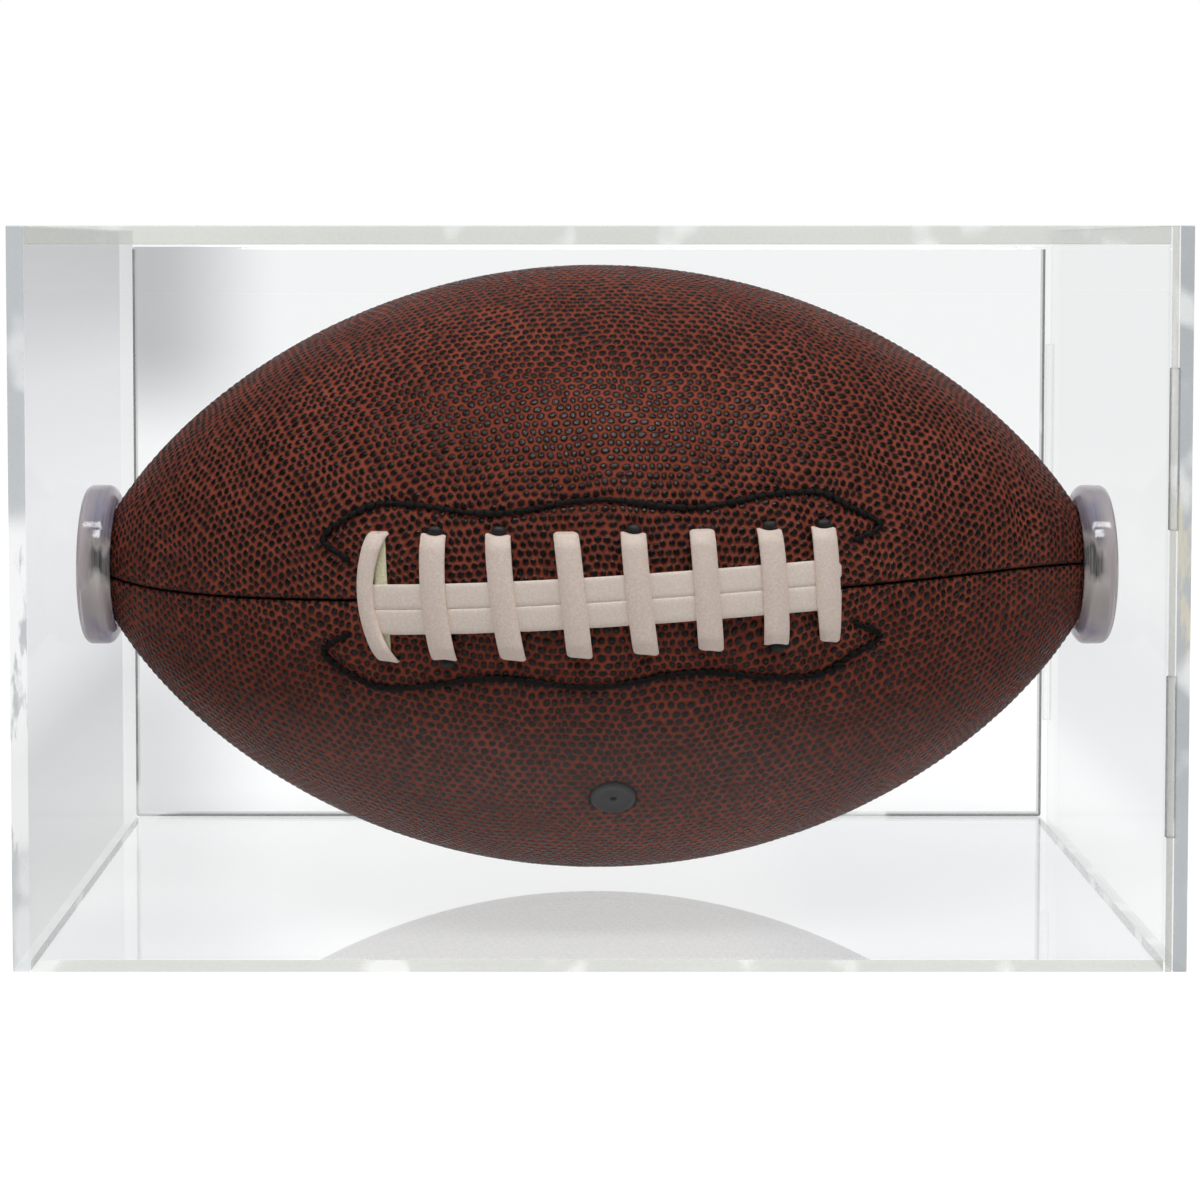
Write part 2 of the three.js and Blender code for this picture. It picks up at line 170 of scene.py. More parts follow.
# ---- Case ----
CASE_HEIGHT = 188.5 * MM
ACRYLIC_IOR = 1.49
SHEET_BEVEL = 0.25 * MM
BACK_BEVEL = 0.8 * MM
PATCH_FADE = 12 * MM  # at both ends of a flecked stretch of edge
TAB_ROOM = 0.3 * MM  # round each tab in its slot and pocket
CUP_RADIUS = 22.5 * MM
CUP_LENGTH = 9 * MM
CUP_CLEARANCE = 0.5 * MM
CUP_BORE = 4.7 * MM
CUP_BASE_ROUND = 2 * MM
CUP_RIM_ROUND = 3 * MM
CUP_SEGMENTS = 128
LATHE_PITCH = 0.9 * MM
TABS = ["tab_front_upper", "tab_front_lower", "tab_back_upper", "tab_back_lower"]

# ---- Studio ----
CAMERA_LEFT = 11.5 * MM  # of the middle of the case
CAMERA_AWAY = 720 * MM
CAMERA_BELOW_TOP = 6.5 * MM
CAMERA_DIPS = 2.99  # degrees
CAMERA_LENS = 86.4
CAMERA_SHIFT = (0.0381, -0.165)
FLOOR_CORNERS = ((-8, -0.7), (8, 12))
FLOOR_FADE = (-0.62, -0.32)  # where it fades away, in front of the case


def ball_centre():
    """The middle of the ball, from the boxes of its four leather panels."""
    boxes = [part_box(node) for node in LEATHER_NODES]
    low = [min(box[0][axis] for box in boxes) for axis in range(3)]
    high = [max(box[1][axis] for box in boxes) for axis in range(3)]
    return [(a + b) / 2 for a, b in zip(low, high)]


BALL_X, BALL_Y, BALL_Z = ball_centre()


# ---- node helpers ----


class Shader:
    """The nodes of a new material, or of the world, with short ways to add and link them."""

    def __init__(self, name, kind="materials", output="OutputMaterial"):
        self.owner = getattr(bpy.data, kind).new(name)
        self.owner.use_nodes = True
        self.tree = self.owner.node_tree
        self.tree.nodes.clear()
        self.output = self.add(output)

    def add(self, kind, **settings):
        """Adds a node with these settings."""
        node = self.tree.nodes.new("ShaderNode" + kind)
        for key, value in settings.items():
            setattr(node, key, value)
        return node

    def link(self, source, target):
        self.tree.links.new(source, target)

    def set(self, socket, value):
        """Links a socket, or sets it to a plain value. A colour may leave out its alpha of 1."""
        if isinstance(value, bpy.types.NodeSocket):
            self.link(value, socket)
            return
        if isinstance(value, tuple) and len(value) < len(socket.default_value):
            value = (*value, 1)
        socket.default_value = value

    def node(self, kind, **values):
        """Adds a node, fills its sockets and gives its first output. _ stands for a space."""
        node = self.add(kind)
        for key, value in values.items():
            self.set(node.inputs[key.replace("_", " ")], value)
        return node.outputs[0]

    def maths(self, operation, *values, clamp=False):
        node = self.add("Math", operation=operation, use_clamp=clamp)
        for socket, value in zip(node.inputs, values):
            self.set(socket, value)
        return node.outputs[0]

    def vector(self, operation, *values):
        node = self.add("VectorMath", operation=operation)
        for socket, value in zip(node.inputs, values):
            self.set(socket, value)
        return node.outputs["Value" if operation == "LENGTH" else "Vector"]

    def ramp(self, value, low, high, to_low=0.0, to_high=1.0, smooth=True):
        """Maps value from low..high to to_low..to_high, held at both ends."""
        node = self.add("MapRange")
        node.interpolation_type = "SMOOTHSTEP" if smooth else "LINEAR"
        names = ("Value", "From Min", "From Max", "To Min", "To Max")
        for name, end in zip(names, (value, low, high, to_low, to_high)):
            self.set(node.inputs[name], end)
        return node.outputs["Result"]

    def colours(self, factor, *stops):
        """A colour ramp with (position, colour) stops."""
        node = self.add("ValToRGB")
        elements = node.color_ramp.elements
        while len(elements) < len(stops):
            elements.new(0.5)
        for element, (position, colour) in zip(elements, stops):
            element.position = position
            element.color = (*colour, 1)
        self.set(node.inputs["Fac"], factor)
        return node.outputs["Color"]

    def mix(self, factor, a, b):
        """A mixture of two colours."""
        node = self.add("Mix", data_type="RGBA")
        for number, value in ((0, factor), (6, a), (7, b)):
            self.set(node.inputs[number], value)
        return node.outputs[2]

    def blend(self, share, a, b):
        """A mixture of two surfaces, with this share of the second."""
        node = self.add("MixShader")
        for socket, value in zip(node.inputs, (share, a, b)):
            self.set(socket, value)
        return node.outputs[0]

    def noise(self, vector, scale, detail=3.0, roughness=0.55):
        values = {"Vector": vector, "Scale": scale, "Detail": detail, "Roughness": roughness}
        return self.node("TexNoise", **values)

    def place(self, stretch=(1, 1, 1), kind="Object"):
        """Coordinates of the object, in metres, or of another kind, stretched."""
        coordinates = self.add("TexCoord").outputs[kind]
        return self.node("Mapping", Vector=coordinates, Scale=stretch)

    def axes(self, kind="Object"):
        """The same coordinates one by one."""
        node = self.add("SeparateXYZ")
        self.link(self.place(kind=kind), node.inputs[0])
        return node.outputs

    def from_outside(self):
        """1 where a surface is seen from outside, and 0 where it is seen from within."""
        geometry = self.add("NewGeometry")
        return self.maths("SUBTRACT", 1.0, geometry.outputs["Backfacing"])

    def bump(self, height, strength, distance):
        values = {"Height": height, "Strength": strength, "Distance": distance}
        return self.node("Bump", **values)

    def done(self, surface):
        self.link(surface, self.output.inputs["Surface"])
        return self.owner

    def principled(self, **values):
        """Ends the material with a Principled shader."""
        return self.done(self.node("BsdfPrincipled", **values))


# ---- materials ----


def clear_sheet(name, tint, mirror=0.5):
    """The face of a polished acrylic sheet: it lets nearly all light through and mirrors a little.
    The tint is a colour, or a function that makes one that varies over the sheet."""
    s = Shader(name)
    through = s.node("BsdfTransparent", Color=tint(s) if callable(tint) else tint)
    gloss = s.node("BsdfGlossy", Color=(1, 1, 1), Roughness=0.02)
    fresnel = s.node("Fresnel", IOR=ACRYLIC_IOR)
    share = s.maths("MULTIPLY", s.maths("MULTIPLY", fresnel, mirror), s.from_outside())
    return s.done(s.blend(share, through, gloss))


def left_painted_reflection(s):
    """Painted grey reflections: soft grey bands that lie across the left end sheet from top to bottom.
    """
    return s.colours(
        s.ramp(s.axes()["Z"], 0.0, CASE_HEIGHT, smooth=False),
        (0.0, (0.83, 0.83, 0.83)),
        (0.27, (0.77, 0.77, 0.78)),
        (0.38, (0.87, 0.87, 0.88)),
        (0.6, (0.93, 0.93, 0.94)),
        (0.78, (0.89, 0.89, 0.90)),
        (0.9, (0.79, 0.79, 0.80)),
        (1.0, (0.75, 0.75, 0.76)),
    )


def right_grey_tint(s):
    """The end plate is a little greyer in its lower half."""
    height = s.axes()["Z"]
    low = s.ramp(height, 20 * MM, 45 * MM)
    high = s.ramp(height, 60 * MM, 100 * MM, 1.0, 0.0)
    return s.mix(s.maths("MULTIPLY", low, high), (0.94, 0.941, 0.943), (0.88, 0.885, 0.89))


def floor_grey_tint(s):
    """The bottom sheet is a little greyer on the right and at its front left corner."""
    axes = s.axes()
    right = s.ramp(axes["X"], 30 * MM, 75 * MM)
    left = s.ramp(axes["X"], -100 * MM, -60 * MM, 1.0, 0.0)
    front = s.ramp(axes["Y"], -60 * MM, -10 * MM, 1.0, 0.0)
    grey_patch = s.maths("ADD", right, s.maths("MULTIPLY", left, front), clamp=True)
    return s.mix(grey_patch, (0.985, 0.987, 0.987), (0.915, 0.918, 0.93))


def back_painted_reflection(s):
    """A painted grey reflection in the upper left of the back sheet, and a fainter grey patch low on
    the left.
    """
    axes = s.axes()
    across = s.ramp(axes["X"], -140 * MM, -95 * MM, 1.0, 0.0)
    top = s.ramp(axes["Z"], 118 * MM, 155 * MM, 0.0, 0.9)
    low = s.ramp(axes["Z"], 30 * MM, 80 * MM, 0.6, 0.0)
    grey_patch = s.maths("MULTIPLY", across, s.maths("ADD", top, low), clamp=True)
    return s.mix(grey_patch, (0.975, 0.977, 0.98), (0.71, 0.71, 0.72))


def sheet_edge(name, colour, solid=0.9, both_sides=False, patch=None):
    """The sawn and polished edge of an acrylic sheet: pale, slightly tinted, clouded along its length.
    From inside the sheet it can't be seen, unless it is a bonded joint. A patch is a stretch between
    two heights, flecked with a given colour, white for painted highlights; the flecks keep a given
    share of the solidity."""
    s = Shader(name)
    clouds = s.noise(s.place(), 14, detail=4)
    streaks = s.noise(s.place(), 900, detail=2)
    dull = tuple(0.84 * part for part in colour)
    tone = s.mix(s.ramp(clouds, 0.35, 0.65), dull, colour)
    if patch is not None:
        low, high, patch_colour, patch_solid = patch
        height = s.axes()["Z"]
        above = s.ramp(height, low, low + PATCH_FADE)
        below = s.ramp(height, high - PATCH_FADE, high, 1.0, 0.0)
        flecks = s.ramp(s.noise(s.place((300, 300, 70)), 1.0, detail=3), 0.36, 0.5)
        flecks = s.maths("MULTIPLY", s.maths("MULTIPLY", above, below), flecks)
        tone = s.mix(flecks, tone, patch_colour)
    body = s.node(
        "BsdfPrincipled",
        Base_Color=tone,
        Roughness=s.ramp(streaks, 0.3, 0.7, 0.2, 0.4),
        IOR=ACRYLIC_IOR,
        Specular_IOR_Level=0.25,
        Normal=s.bump(streaks, 0.15, 0.05 * MM),
    )
    through = s.node("BsdfTransparent", Color=(0.96, 0.97, 0.96))
    glints = s.noise(s.place((60, 60, 45)), 1.0, detail=2)
    share = s.ramp(glints, 0.56, 0.68, solid, 0.4 * solid)
    if patch is not None:
        share = s.maths("MULTIPLY", share, s.ramp(flecks, 0.0, 1.0, 1.0, patch_solid))
    if both_sides:
        grazing = s.add("LayerWeight").outputs["Facing"]
        share = s.maths("MULTIPLY", share, s.ramp(grazing, 0.02, 0.12, 0.5, 1.0))
    else:
        share = s.maths("MULTIPLY", s.from_outside(), share)
    return s.done(s.blend(share, through, body))


def cup_acrylic():
    """Half clear turned acrylic with lathe lines round it. Its colour is pinkish grey at the wall and,
    towards the ball,
    painted reflections: violet above and below, with a dark painted reflection of the ball over a pale
    one."""
    s = Shader("cup_acrylic")
    axes = s.axes()
    rings = s.maths("SINE", s.maths("MULTIPLY", axes["X"], 2 * math.pi / LATHE_PITCH))
    grain = s.noise(s.place((4000, 60, 60)), 1.0, detail=2)
    height = s.maths("ADD", s.maths("MULTIPLY", rings, 0.2), grain)
    patches = s.noise(s.place((260, 90, 90)), 1.0, detail=2)
    level = s.maths("ADD", axes["Z"], s.ramp(patches, 0.3, 0.7, -2 * MM, 2 * MM))
    level = s.ramp(level, BALL_Z - CUP_RADIUS, BALL_Z + CUP_RADIUS, smooth=False)
    # Painted reflections by height round the cup: violet surroundings above and below, the dark ball
    # across the middle over a pale patch.
    painted_reflections_near_ball = s.colours(
        level,
        (0.02, (0.72, 0.66, 0.72)),
        (0.12, (0.46, 0.42, 0.62)),
        (0.24, (0.85, 0.77, 0.74)),
        (0.44, (0.90, 0.84, 0.79)),
        (0.51, (0.10, 0.11, 0.11)),
        (0.62, (0.09, 0.10, 0.10)),
        (0.68, (0.60, 0.56, 0.53)),
        (0.74, (0.22, 0.21, 0.27)),
        (0.88, (0.45, 0.42, 0.58)),
        (0.97, (0.62, 0.57, 0.62)),
    )
    near_wall = s.colours(
        level,
        (0.0, (0.80, 0.72, 0.77)),
        (0.14, (0.76, 0.70, 0.76)),
        (0.3, (0.78, 0.70, 0.70)),
        (0.7, (0.76, 0.68, 0.69)),
        (0.9, (0.70, 0.65, 0.70)),
    )
    inwards = s.ramp(s.maths("ABSOLUTE", axes["X"]), 142.5 * MM, 138.5 * MM)
    tone = s.mix(inwards, near_wall, painted_reflections_near_ball)
    tone = s.mix(s.ramp(grain, 0.35, 0.65, 0.0, 0.25), tone, (0.85, 0.78, 0.78))
    return s.principled(
        Base_Color=tone,
        Roughness=s.ramp(grain, 0.3, 0.7, 0.05, 0.12),
        IOR=ACRYLIC_IOR,
        Transmission_Weight=0.45,
        Specular_IOR_Level=0.6,
        Normal=s.bump(height, 0.08, 0.03 * MM),
    )


def nearest_pebble(s, flat):
    """The distance to the middle of the nearest pebble, in spacings, and random numbers of its own.
    The pebbles stand in rows, every second row half a spacing along."""
    squeezed = s.vector("MULTIPLY", flat, (1, 1 / ROW_PAIR, 0))
    even_row = s.vector("FLOOR", s.vector("ADD", squeezed, (0.5, 0.5, 0)))
    odd_row = s.vector("ADD", s.vector("FLOOR", squeezed), (0.5, 0.5, 0))
    distances = []
    for middle in (even_row, odd_row):
        away = s.vector("MULTIPLY", s.vector("SUBTRACT", squeezed, middle), (1, ROW_PAIR, 0))
        stray = s.add("TexWhiteNoise", noise_dimensions="2D")
        s.link(s.vector("ADD", middle, (0.25, 0.25, 0)), stray.inputs["Vector"])
        shift = s.vector("SUBTRACT", stray.outputs["Color"], (0.5, 0.5, 0.5))
        away = s.vector("ADD", away, s.vector("MULTIPLY", shift, PEBBLE_STRAY))
        distances.append(s.vector("LENGTH", away))
    pick = s.add("Mix", data_type="VECTOR")
    s.link(s.maths("LESS_THAN", *distances), pick.inputs["Factor"])
    s.link(odd_row, pick.inputs[4])
    s.link(even_row, pick.inputs[5])
    chance = s.add("TexWhiteNoise", noise_dimensions="2D")
    s.link(pick.outputs[1], chance.inputs["Vector"])
    own = s.add("SeparateColor")
    s.link(chance.outputs["Color"], own.inputs[0])
    return s.maths("MINIMUM", *distances), own.outputs


def pebbled_leather():
    """Dark round pebbles on a red-brown ground, slightly shiny, with painted shade that darkens the
    leather into the seams.
    """
    s = Shader("pebbled_leather")
    flat = s.add("UVMap", uv_map="leather").outputs[0]
    apart, own = nearest_pebble(s, flat)
    ragged = s.ramp(s.noise(flat, 2.1, detail=2), 0.3, 0.7, -0.04, 0.04, smooth=False)
    size = s.ramp(own["Red"], 0.0, 1.0, -0.035, 0.035, smooth=False)
    reach = s.maths("ADD", apart, s.maths("ADD", size, ragged))
    pebble = s.ramp(reach, 0.28, 0.49, 1.0, 0.0)
    dome = s.ramp(reach, 0.20, 0.54, 1.0, 0.0)
    broad = s.noise(flat, 0.08, detail=3)
    fine = s.noise(flat, 7, detail=3)
    blotches = s.noise(flat, 0.6, detail=3)
    ground = s.colours(
        broad,
        (0.3, (0.215, 0.046, 0.026)),
        (0.5, (0.275, 0.061, 0.035)),
        (0.72, (0.345, 0.082, 0.049)),
    )
    ground = s.mix(s.ramp(fine, 0.4, 0.75, 0.0, 0.4), ground, (0.07, 0.018, 0.012))
    ground = s.mix(s.ramp(blotches, 0.42, 0.68, 0.0, 0.5), ground, (0.09, 0.022, 0.014))
    dark = s.mix(own["Green"], (0.008, 0.005, 0.0045), (0.022, 0.011, 0.0095))
    colour = s.mix(pebble, ground, dark)
    # Painted shade: the leather darkens into the seams.
    seam = s.add("Attribute", attribute_name="seam")
    colour = s.mix(s.maths("MULTIPLY", seam.outputs["Fac"], 0.94), colour, (0.006, 0.004, 0.003))
    height = s.maths("ADD", dome, s.maths("MULTIPLY", fine, 0.15))
    return s.principled(
        Base_Color=colour,
        Roughness=s.ramp(pebble, 0.0, 1.0, 0.6, 0.27, smooth=False),
        IOR=1.45,
        Specular_IOR_Level=s.ramp(pebble, 0.0, 1.0, 0.03, 0.21, smooth=False),
        Normal=s.bump(height, 0.9, 0.42 * MM),
    )


def lace_material(name, light, dark):
    """Cream lace with a fine pressed grain, a little darker in its hollows."""
    s = Shader(name)
    grain = s.noise(s.place(), 1700, detail=2, roughness=0.6)
    weave = s.noise(s.place((500, 2200, 2200)), 1.0, detail=1)
    broad = s.noise(s.place(), 55, detail=3)
    colour = s.mix(s.ramp(grain, 0.35, 0.7), dark, light)
    colour = s.mix(s.ramp(broad, 0.35, 0.75, 0.0, 0.35), colour, dark)
    height = s.maths("ADD", grain, s.maths("MULTIPLY", weave, 0.5))
    return s.principled(
        Base_Color=colour,
        Roughness=s.ramp(grain, 0.3, 0.7, 0.5, 0.68),
        Specular_IOR_Level=0.35,
        Normal=s.bump(height, 0.35, 0.12 * MM),
    )


def thread_material():
    """Black waxed thread."""
    s = Shader("black_thread")
    strands = s.noise(s.place(), 2400, detail=2)
    return s.principled(
        Base_Color=s.mix(strands, (0.003, 0.0025, 0.0025), (0.009, 0.007, 0.006)),
        Roughness=s.ramp(strands, 0.3, 0.7, 0.5, 0.75),
        Specular_IOR_Level=0.12,
        Normal=s.bump(strands, 0.5, 0.15 * MM),
    )


def rubber_material(name, low, high):
    """Matt black or dark grey rubber with a fine moulded grain."""
    s = Shader(name)
    grain = s.noise(s.place(), 1500, detail=4)
    return s.principled(
        Base_Color=s.mix(grain, low, high),
        Roughness=s.ramp(grain, 0.3, 0.7, 0.45, 0.65),
        Specular_IOR_Level=0.3,
        Normal=s.bump(grain, 0.3, 0.08 * MM),
    )


# ---- mesh helpers ----


def add_object(name, data):
    piece = bpy.data.objects.new(name, data)
    bpy.context.scene.collection.objects.link(piece)
    return piece


def mesh_object(name, vertices, faces, material):
    """An object from an array of vertices and one array of faces, or a list of such arrays with
    different numbers of corners."""
    blocks = faces if isinstance(faces, list) else [faces]
    blocks = [np.asarray(block, int) for block in blocks]
    corners = np.concatenate([block.ravel() for block in blocks])
    counts = np.concatenate([np.full(len(block), block.shape[1]) for block in blocks])
    starts = np.cumsum(counts) - counts
    mesh = bpy.data.meshes.new(name)
    vertices = np.asarray(vertices, float)
    mesh.vertices.add(len(vertices))
    mesh.vertices.foreach_set("co", vertices.ravel())
    mesh.loops.add(len(corners))
    mesh.loops.foreach_set("vertex_index", corners)
    mesh.polygons.add(len(counts))
    mesh.polygons.foreach_set("loop_start", starts)
    mesh.polygons.foreach_set("use_smooth", np.full(len(counts), True))
    mesh.update()
    mesh.validate()
    mesh.materials.append(material)
    return add_object(name, mesh)


def weld(piece, distance):
    """Joins vertices that lie together and turns every face outwards."""
    shape = bmesh.new()
    shape.from_mesh(piece.data)
    bmesh.ops.remove_doubles(shape, verts=shape.verts, dist=distance)
    bmesh.ops.recalc_face_normals(shape, faces=shape.faces)
    shape.to_mesh(piece.data)
    shape.free()


def add_block(shape, low, high):
    """Adds a box between two corners to a bmesh."""
    corners = bmesh.ops.create_cube(shape, size=1)["verts"]
    bmesh.ops.scale(shape, vec=high - low, verts=corners)
    bmesh.ops.translate(shape, vec=(low + high) / 2, verts=corners)


def finish_piece(piece, body, slot, *nodes):
    """Puts a piece on the body it rides on and hides the CAD parts it stands in for. The slot is not
    used.
    """
    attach(piece, body)
    if nodes:
        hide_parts(*nodes)


def grid_faces(rows, columns, start=0, flip=False):
    """Four-cornered faces over a grid of rows by columns of vertices."""
    index = np.arange(rows * columns).reshape(rows, columns) + start
    corners = (index[:-1, :-1], index[1:, :-1], index[1:, 1:], index[:-1, 1:])
    faces = np.stack([c.ravel() for c in corners], 1)
    return faces[:, ::-1] if flip else faces


def thick_patch(outer, inner, flip=False):
    """Vertices and faces of a closed patch between two grids of points of the same shape."""
    rows, columns = outer.shape[:2]
    layer = rows * columns
    vertices = np.concatenate([outer.reshape(-1, 3), inner.reshape(-1, 3)])
    index = np.arange(layer).reshape(rows, columns)
    edge = np.concatenate([index[:-1, 0], index[-1, :-1], index[:0:-1, -1], index[0, :0:-1]])
    ahead = np.roll(edge, -1)
    sides = np.stack([ahead, edge, edge + layer, ahead + layer], 1)
    faces = [grid_faces(rows, columns), grid_faces(rows, columns, layer, True), sides]
    faces = np.concatenate(faces)
    return vertices, faces[:, ::-1] if flip else faces


# ---- shape of the ball ----


def soft_step(share):
    """Eases a share from 0 to 1."""
    return share * share * (3 - 2 * share)


def ball_radius(x):
    """The ball's radius at a distance along it from its middle."""
    along = np.clip(x / BALL_HALF_LENGTH, -1, 1)
    return BALL_RADIUS * np.maximum(1 - along**2, 0) ** BALL_FULLNESS


def ball_reach(radius):
    """How far along the ball its radius has come down to this."""
    share = (radius / BALL_RADIUS) ** (1 / BALL_FULLNESS)
    return BALL_HALF_LENGTH * math.sqrt(1 - share)


def seam_turn(x):
    """How far the seams have wandered round the ball, in radians."""
    return SEAM_TURN + SEAM_TILT * x + SEAM_CURVE * x**3


def crossbar_turn(x):
    """The bars and the stitching share a centre line that climbs slowly along the ball."""
    return CROSSBAR_TURN + CROSSBAR_TILT * x


def round_axis(x, radius, angle):
    """Points round the ball's axis. Angle 0 faces the front and a quarter turn faces up."""
    x, radius, angle = np.broadcast_arrays(x, radius, angle)
    return np.stack(
        [BALL_X + x, BALL_Y - radius * np.cos(angle), BALL_Z + radius * np.sin(angle)], -1
    )


def over_leather(x, arc, height, turn=0.0):
    """Points a height above the leather, at an arc distance up from the front line."""
    radius = ball_radius(x)
    return round_axis(x, radius + height, arc / radius + turn)


def stitch_line(side):
    """Points along a stitched outline, as (along the ball, arc up from the laces' centre line)."""
    xs = np.linspace(-STITCH_WAVE_END, STITCH_WAVE_END, STITCH_WAVE_POINTS)
    phase = 2 * np.pi * (xs + STITCH_WAVE_SHIFT) / STITCH_PERIOD
    wave = STITCH_FROM_LACES + STITCH_WAVE * np.cos(phase)
    left = np.array(STITCH_LEFT_HOOK) * MM
    right = np.array(STITCH_RIGHT_HOOK) * MM
    points = np.concatenate([left, np.stack([xs, wave], 1), right])
    points[:, 1] *= side
    return smooth_line(points, STITCH_STEPS)


def smooth_line(points, per_span):
    """A Catmull-Rom curve through the points."""
    padded = np.concatenate([[2 * points[0] - points[1]], points, [2 * points[-1] - points[-2]]])
    result = []
    for i in range(1, len(padded) - 2):
        a, b, c, d = padded[i - 1 : i + 3]
        for t in np.arange(per_span) / per_span:
            result.append(
                0.5 * (2 * b + (c - a) * t + (2 * a - 5 * b + 4 * c - d) * t**2
                       + (3 * b - a - 3 * c + d) * t**3)
            )
    result.append(points[-1])
    return np.array(result)


def crossbar_place(number):
    """Where a bar crosses the strips, along the ball, and half its length."""
    from_middle = number - (CROSSBARS + 1) / 2
    closer = 0.0
    if number in (1, CROSSBARS):
        closer = math.copysign(CROSSBAR_PITCH - END_PITCH, from_middle)
    x = LACE_X + from_middle * CROSSBAR_PITCH - closer
    return x, CROSSBAR_HALF - CROSSBAR_SHORTENS * x


def lace_holes():
    """The places where the bars go into the leather: (along the ball, arc, turn, open or not)."""
    places = []
    for number in range(1, CROSSBARS + 1):
        middle, half = crossbar_place(number)
        for end, open_ends in ((1, OPEN_TOPS), (-1, OPEN_FEET)):
            arc = end * (half + HOLE_BEYOND)
            x = middle - (CROSSBAR_LEAN + BAR_SKEWS[number - 1]) * arc
            places.append((x, arc, crossbar_turn(middle), number in open_ends))
    return places


# ---- ball pieces ----


def meridian():
    """Evenly spaced points from tip to tip: distance along the ball, length of surface, slope."""
    reach = ball_reach(TIP_HOLE)
    fine = -reach * np.cos(np.linspace(0, np.pi, 4001))
    radius = ball_radius(fine)
    length = np.concatenate([[0], np.cumsum(np.hypot(np.diff(fine), np.diff(radius)))])
    rows = int(length[-1] / LEATHER_STEP) + 1
    even = np.linspace(0, length[-1], rows)
    x = np.interp(even, length, fine)
    slope = np.interp(even, length, np.gradient(radius, length))
    return x, even - length[-1] / 2, slope


def distance_to(points, line):
    """How far each point is from the nearest point of a line, a block of points at a time."""
    nearest = [
        np.linalg.norm(block[:, None] - line[None], axis=2).min(1)
        for block in np.array_split(points, max(1, len(points) // 4000))
    ]
    return np.concatenate(nearest)


def pressed_in(x, radius, angle):
    """How far the front leather is drawn in by the stitching, the bars' ends and the valve."""
    arc = angle * radius
    flat = np.stack([np.broadcast_to(x, arc.shape), arc], -1).reshape(-1, 2)
    near = (np.abs(flat[:, 0]) < LACED_AREA[0]) & (np.abs(flat[:, 1]) < LACED_AREA[1])
    depth = np.zeros(len(flat))
    level = flat[near] - np.stack(
        [0 * flat[near, 0], crossbar_turn(flat[near, 0]) * ball_radius(flat[near, 0])], 1
    )
    for side in (-1, 1):
        gap = distance_to(level, stitch_line(side))
        depth[near] += STITCH_PULL * np.exp(-((gap / STITCH_PULL_REACH) ** 2))
    for hole_x, hole_arc, turn, _ in lace_holes():
        centre = np.array([hole_x, hole_arc + turn * ball_radius(hole_x)])
        gap = np.linalg.norm((flat[near] - centre) / HOLE_PULL_REACH, axis=1)
        depth[near] += HOLE_PULL * np.exp(-(gap**2))
    valve = np.array([VALVE_X, VALVE_ANGLE * float(ball_radius(VALVE_X))])
    from_rim = VALVE_RADIUS + VALVE_ROOM - np.linalg.norm(flat - valve, axis=1)
    depth += VALVE_RECESS * soft_step(np.clip(from_rim / MM, 0, 1))
    return depth.reshape(arc.shape)


def leather_map(x, length, slope, angle, order):
    """A flat map of a panel, in pebble spacings, on which pebbles stay round: each ring of the ball
    becomes an arc of its own cone, with its true length kept along it. Some gentle waves then make
    the rows of pebbles wander."""
    radius = ball_radius(x)
    steep = np.where(np.abs(slope) < 1e-4, 1e-4, slope)
    turn = angle * steep
    along = (length - radius / steep * (1 - np.cos(turn))) / PEBBLE_SPACING
    across = radius / steep * np.sin(turn) / PEBBLE_SPACING
    flat = np.stack([along, across], -1)
    chance = np.random.default_rng(11 + order)
    for _ in range(WANDER_WAVES):
        heading = chance.uniform(0, 2 * np.pi)
        push = chance.uniform(0, 2 * np.pi)
        phase = chance.uniform(0, 2 * np.pi)
        pace = 2 * np.pi / chance.uniform(*WANDER_LENGTHS)
        wave = np.sin(pace * (flat @ (math.cos(heading), math.sin(heading))) + phase)
        flat = flat + WANDER * wave[..., None] * (math.cos(push), math.sin(push))
    return flat


def pebble_rise(flat):
    """1 in the middle of each pebble, falling to 0 where the creases meet."""
    along, across = 2 * np.pi * flat[..., 0], 2 * np.pi * flat[..., 1] / ROW_PAIR
    waves = np.cos(along - across) + np.cos(2 * across) + np.cos(along + across)
    return (waves + 1.5) / 4.5


def panel_faces(rows, columns, inner_columns):
    """Faces of a closed patch whose outer and inner layers have different numbers of columns."""
    outer = np.arange(rows * columns).reshape(rows, columns)
    inner = np.arange(rows * inner_columns).reshape(rows, inner_columns) + outer.size
    low = [outer[1:, 0], outer[:-1, 0], inner[:-1, 0], inner[1:, 0]]
    high = [outer[:-1, -1], outer[1:, -1], inner[1:, -1], inner[:-1, -1]]
    first_end = np.concatenate([outer[0], inner[0, ::-1]])[None]
    last_end = np.concatenate([outer[-1, ::-1], inner[-1]])[None]
    return [
        grid_faces(rows, columns),
        grid_faces(rows, inner_columns, outer.size, True),
        np.stack(low, 1),
        np.stack(high, 1),
        first_end,
        last_end,
    ]


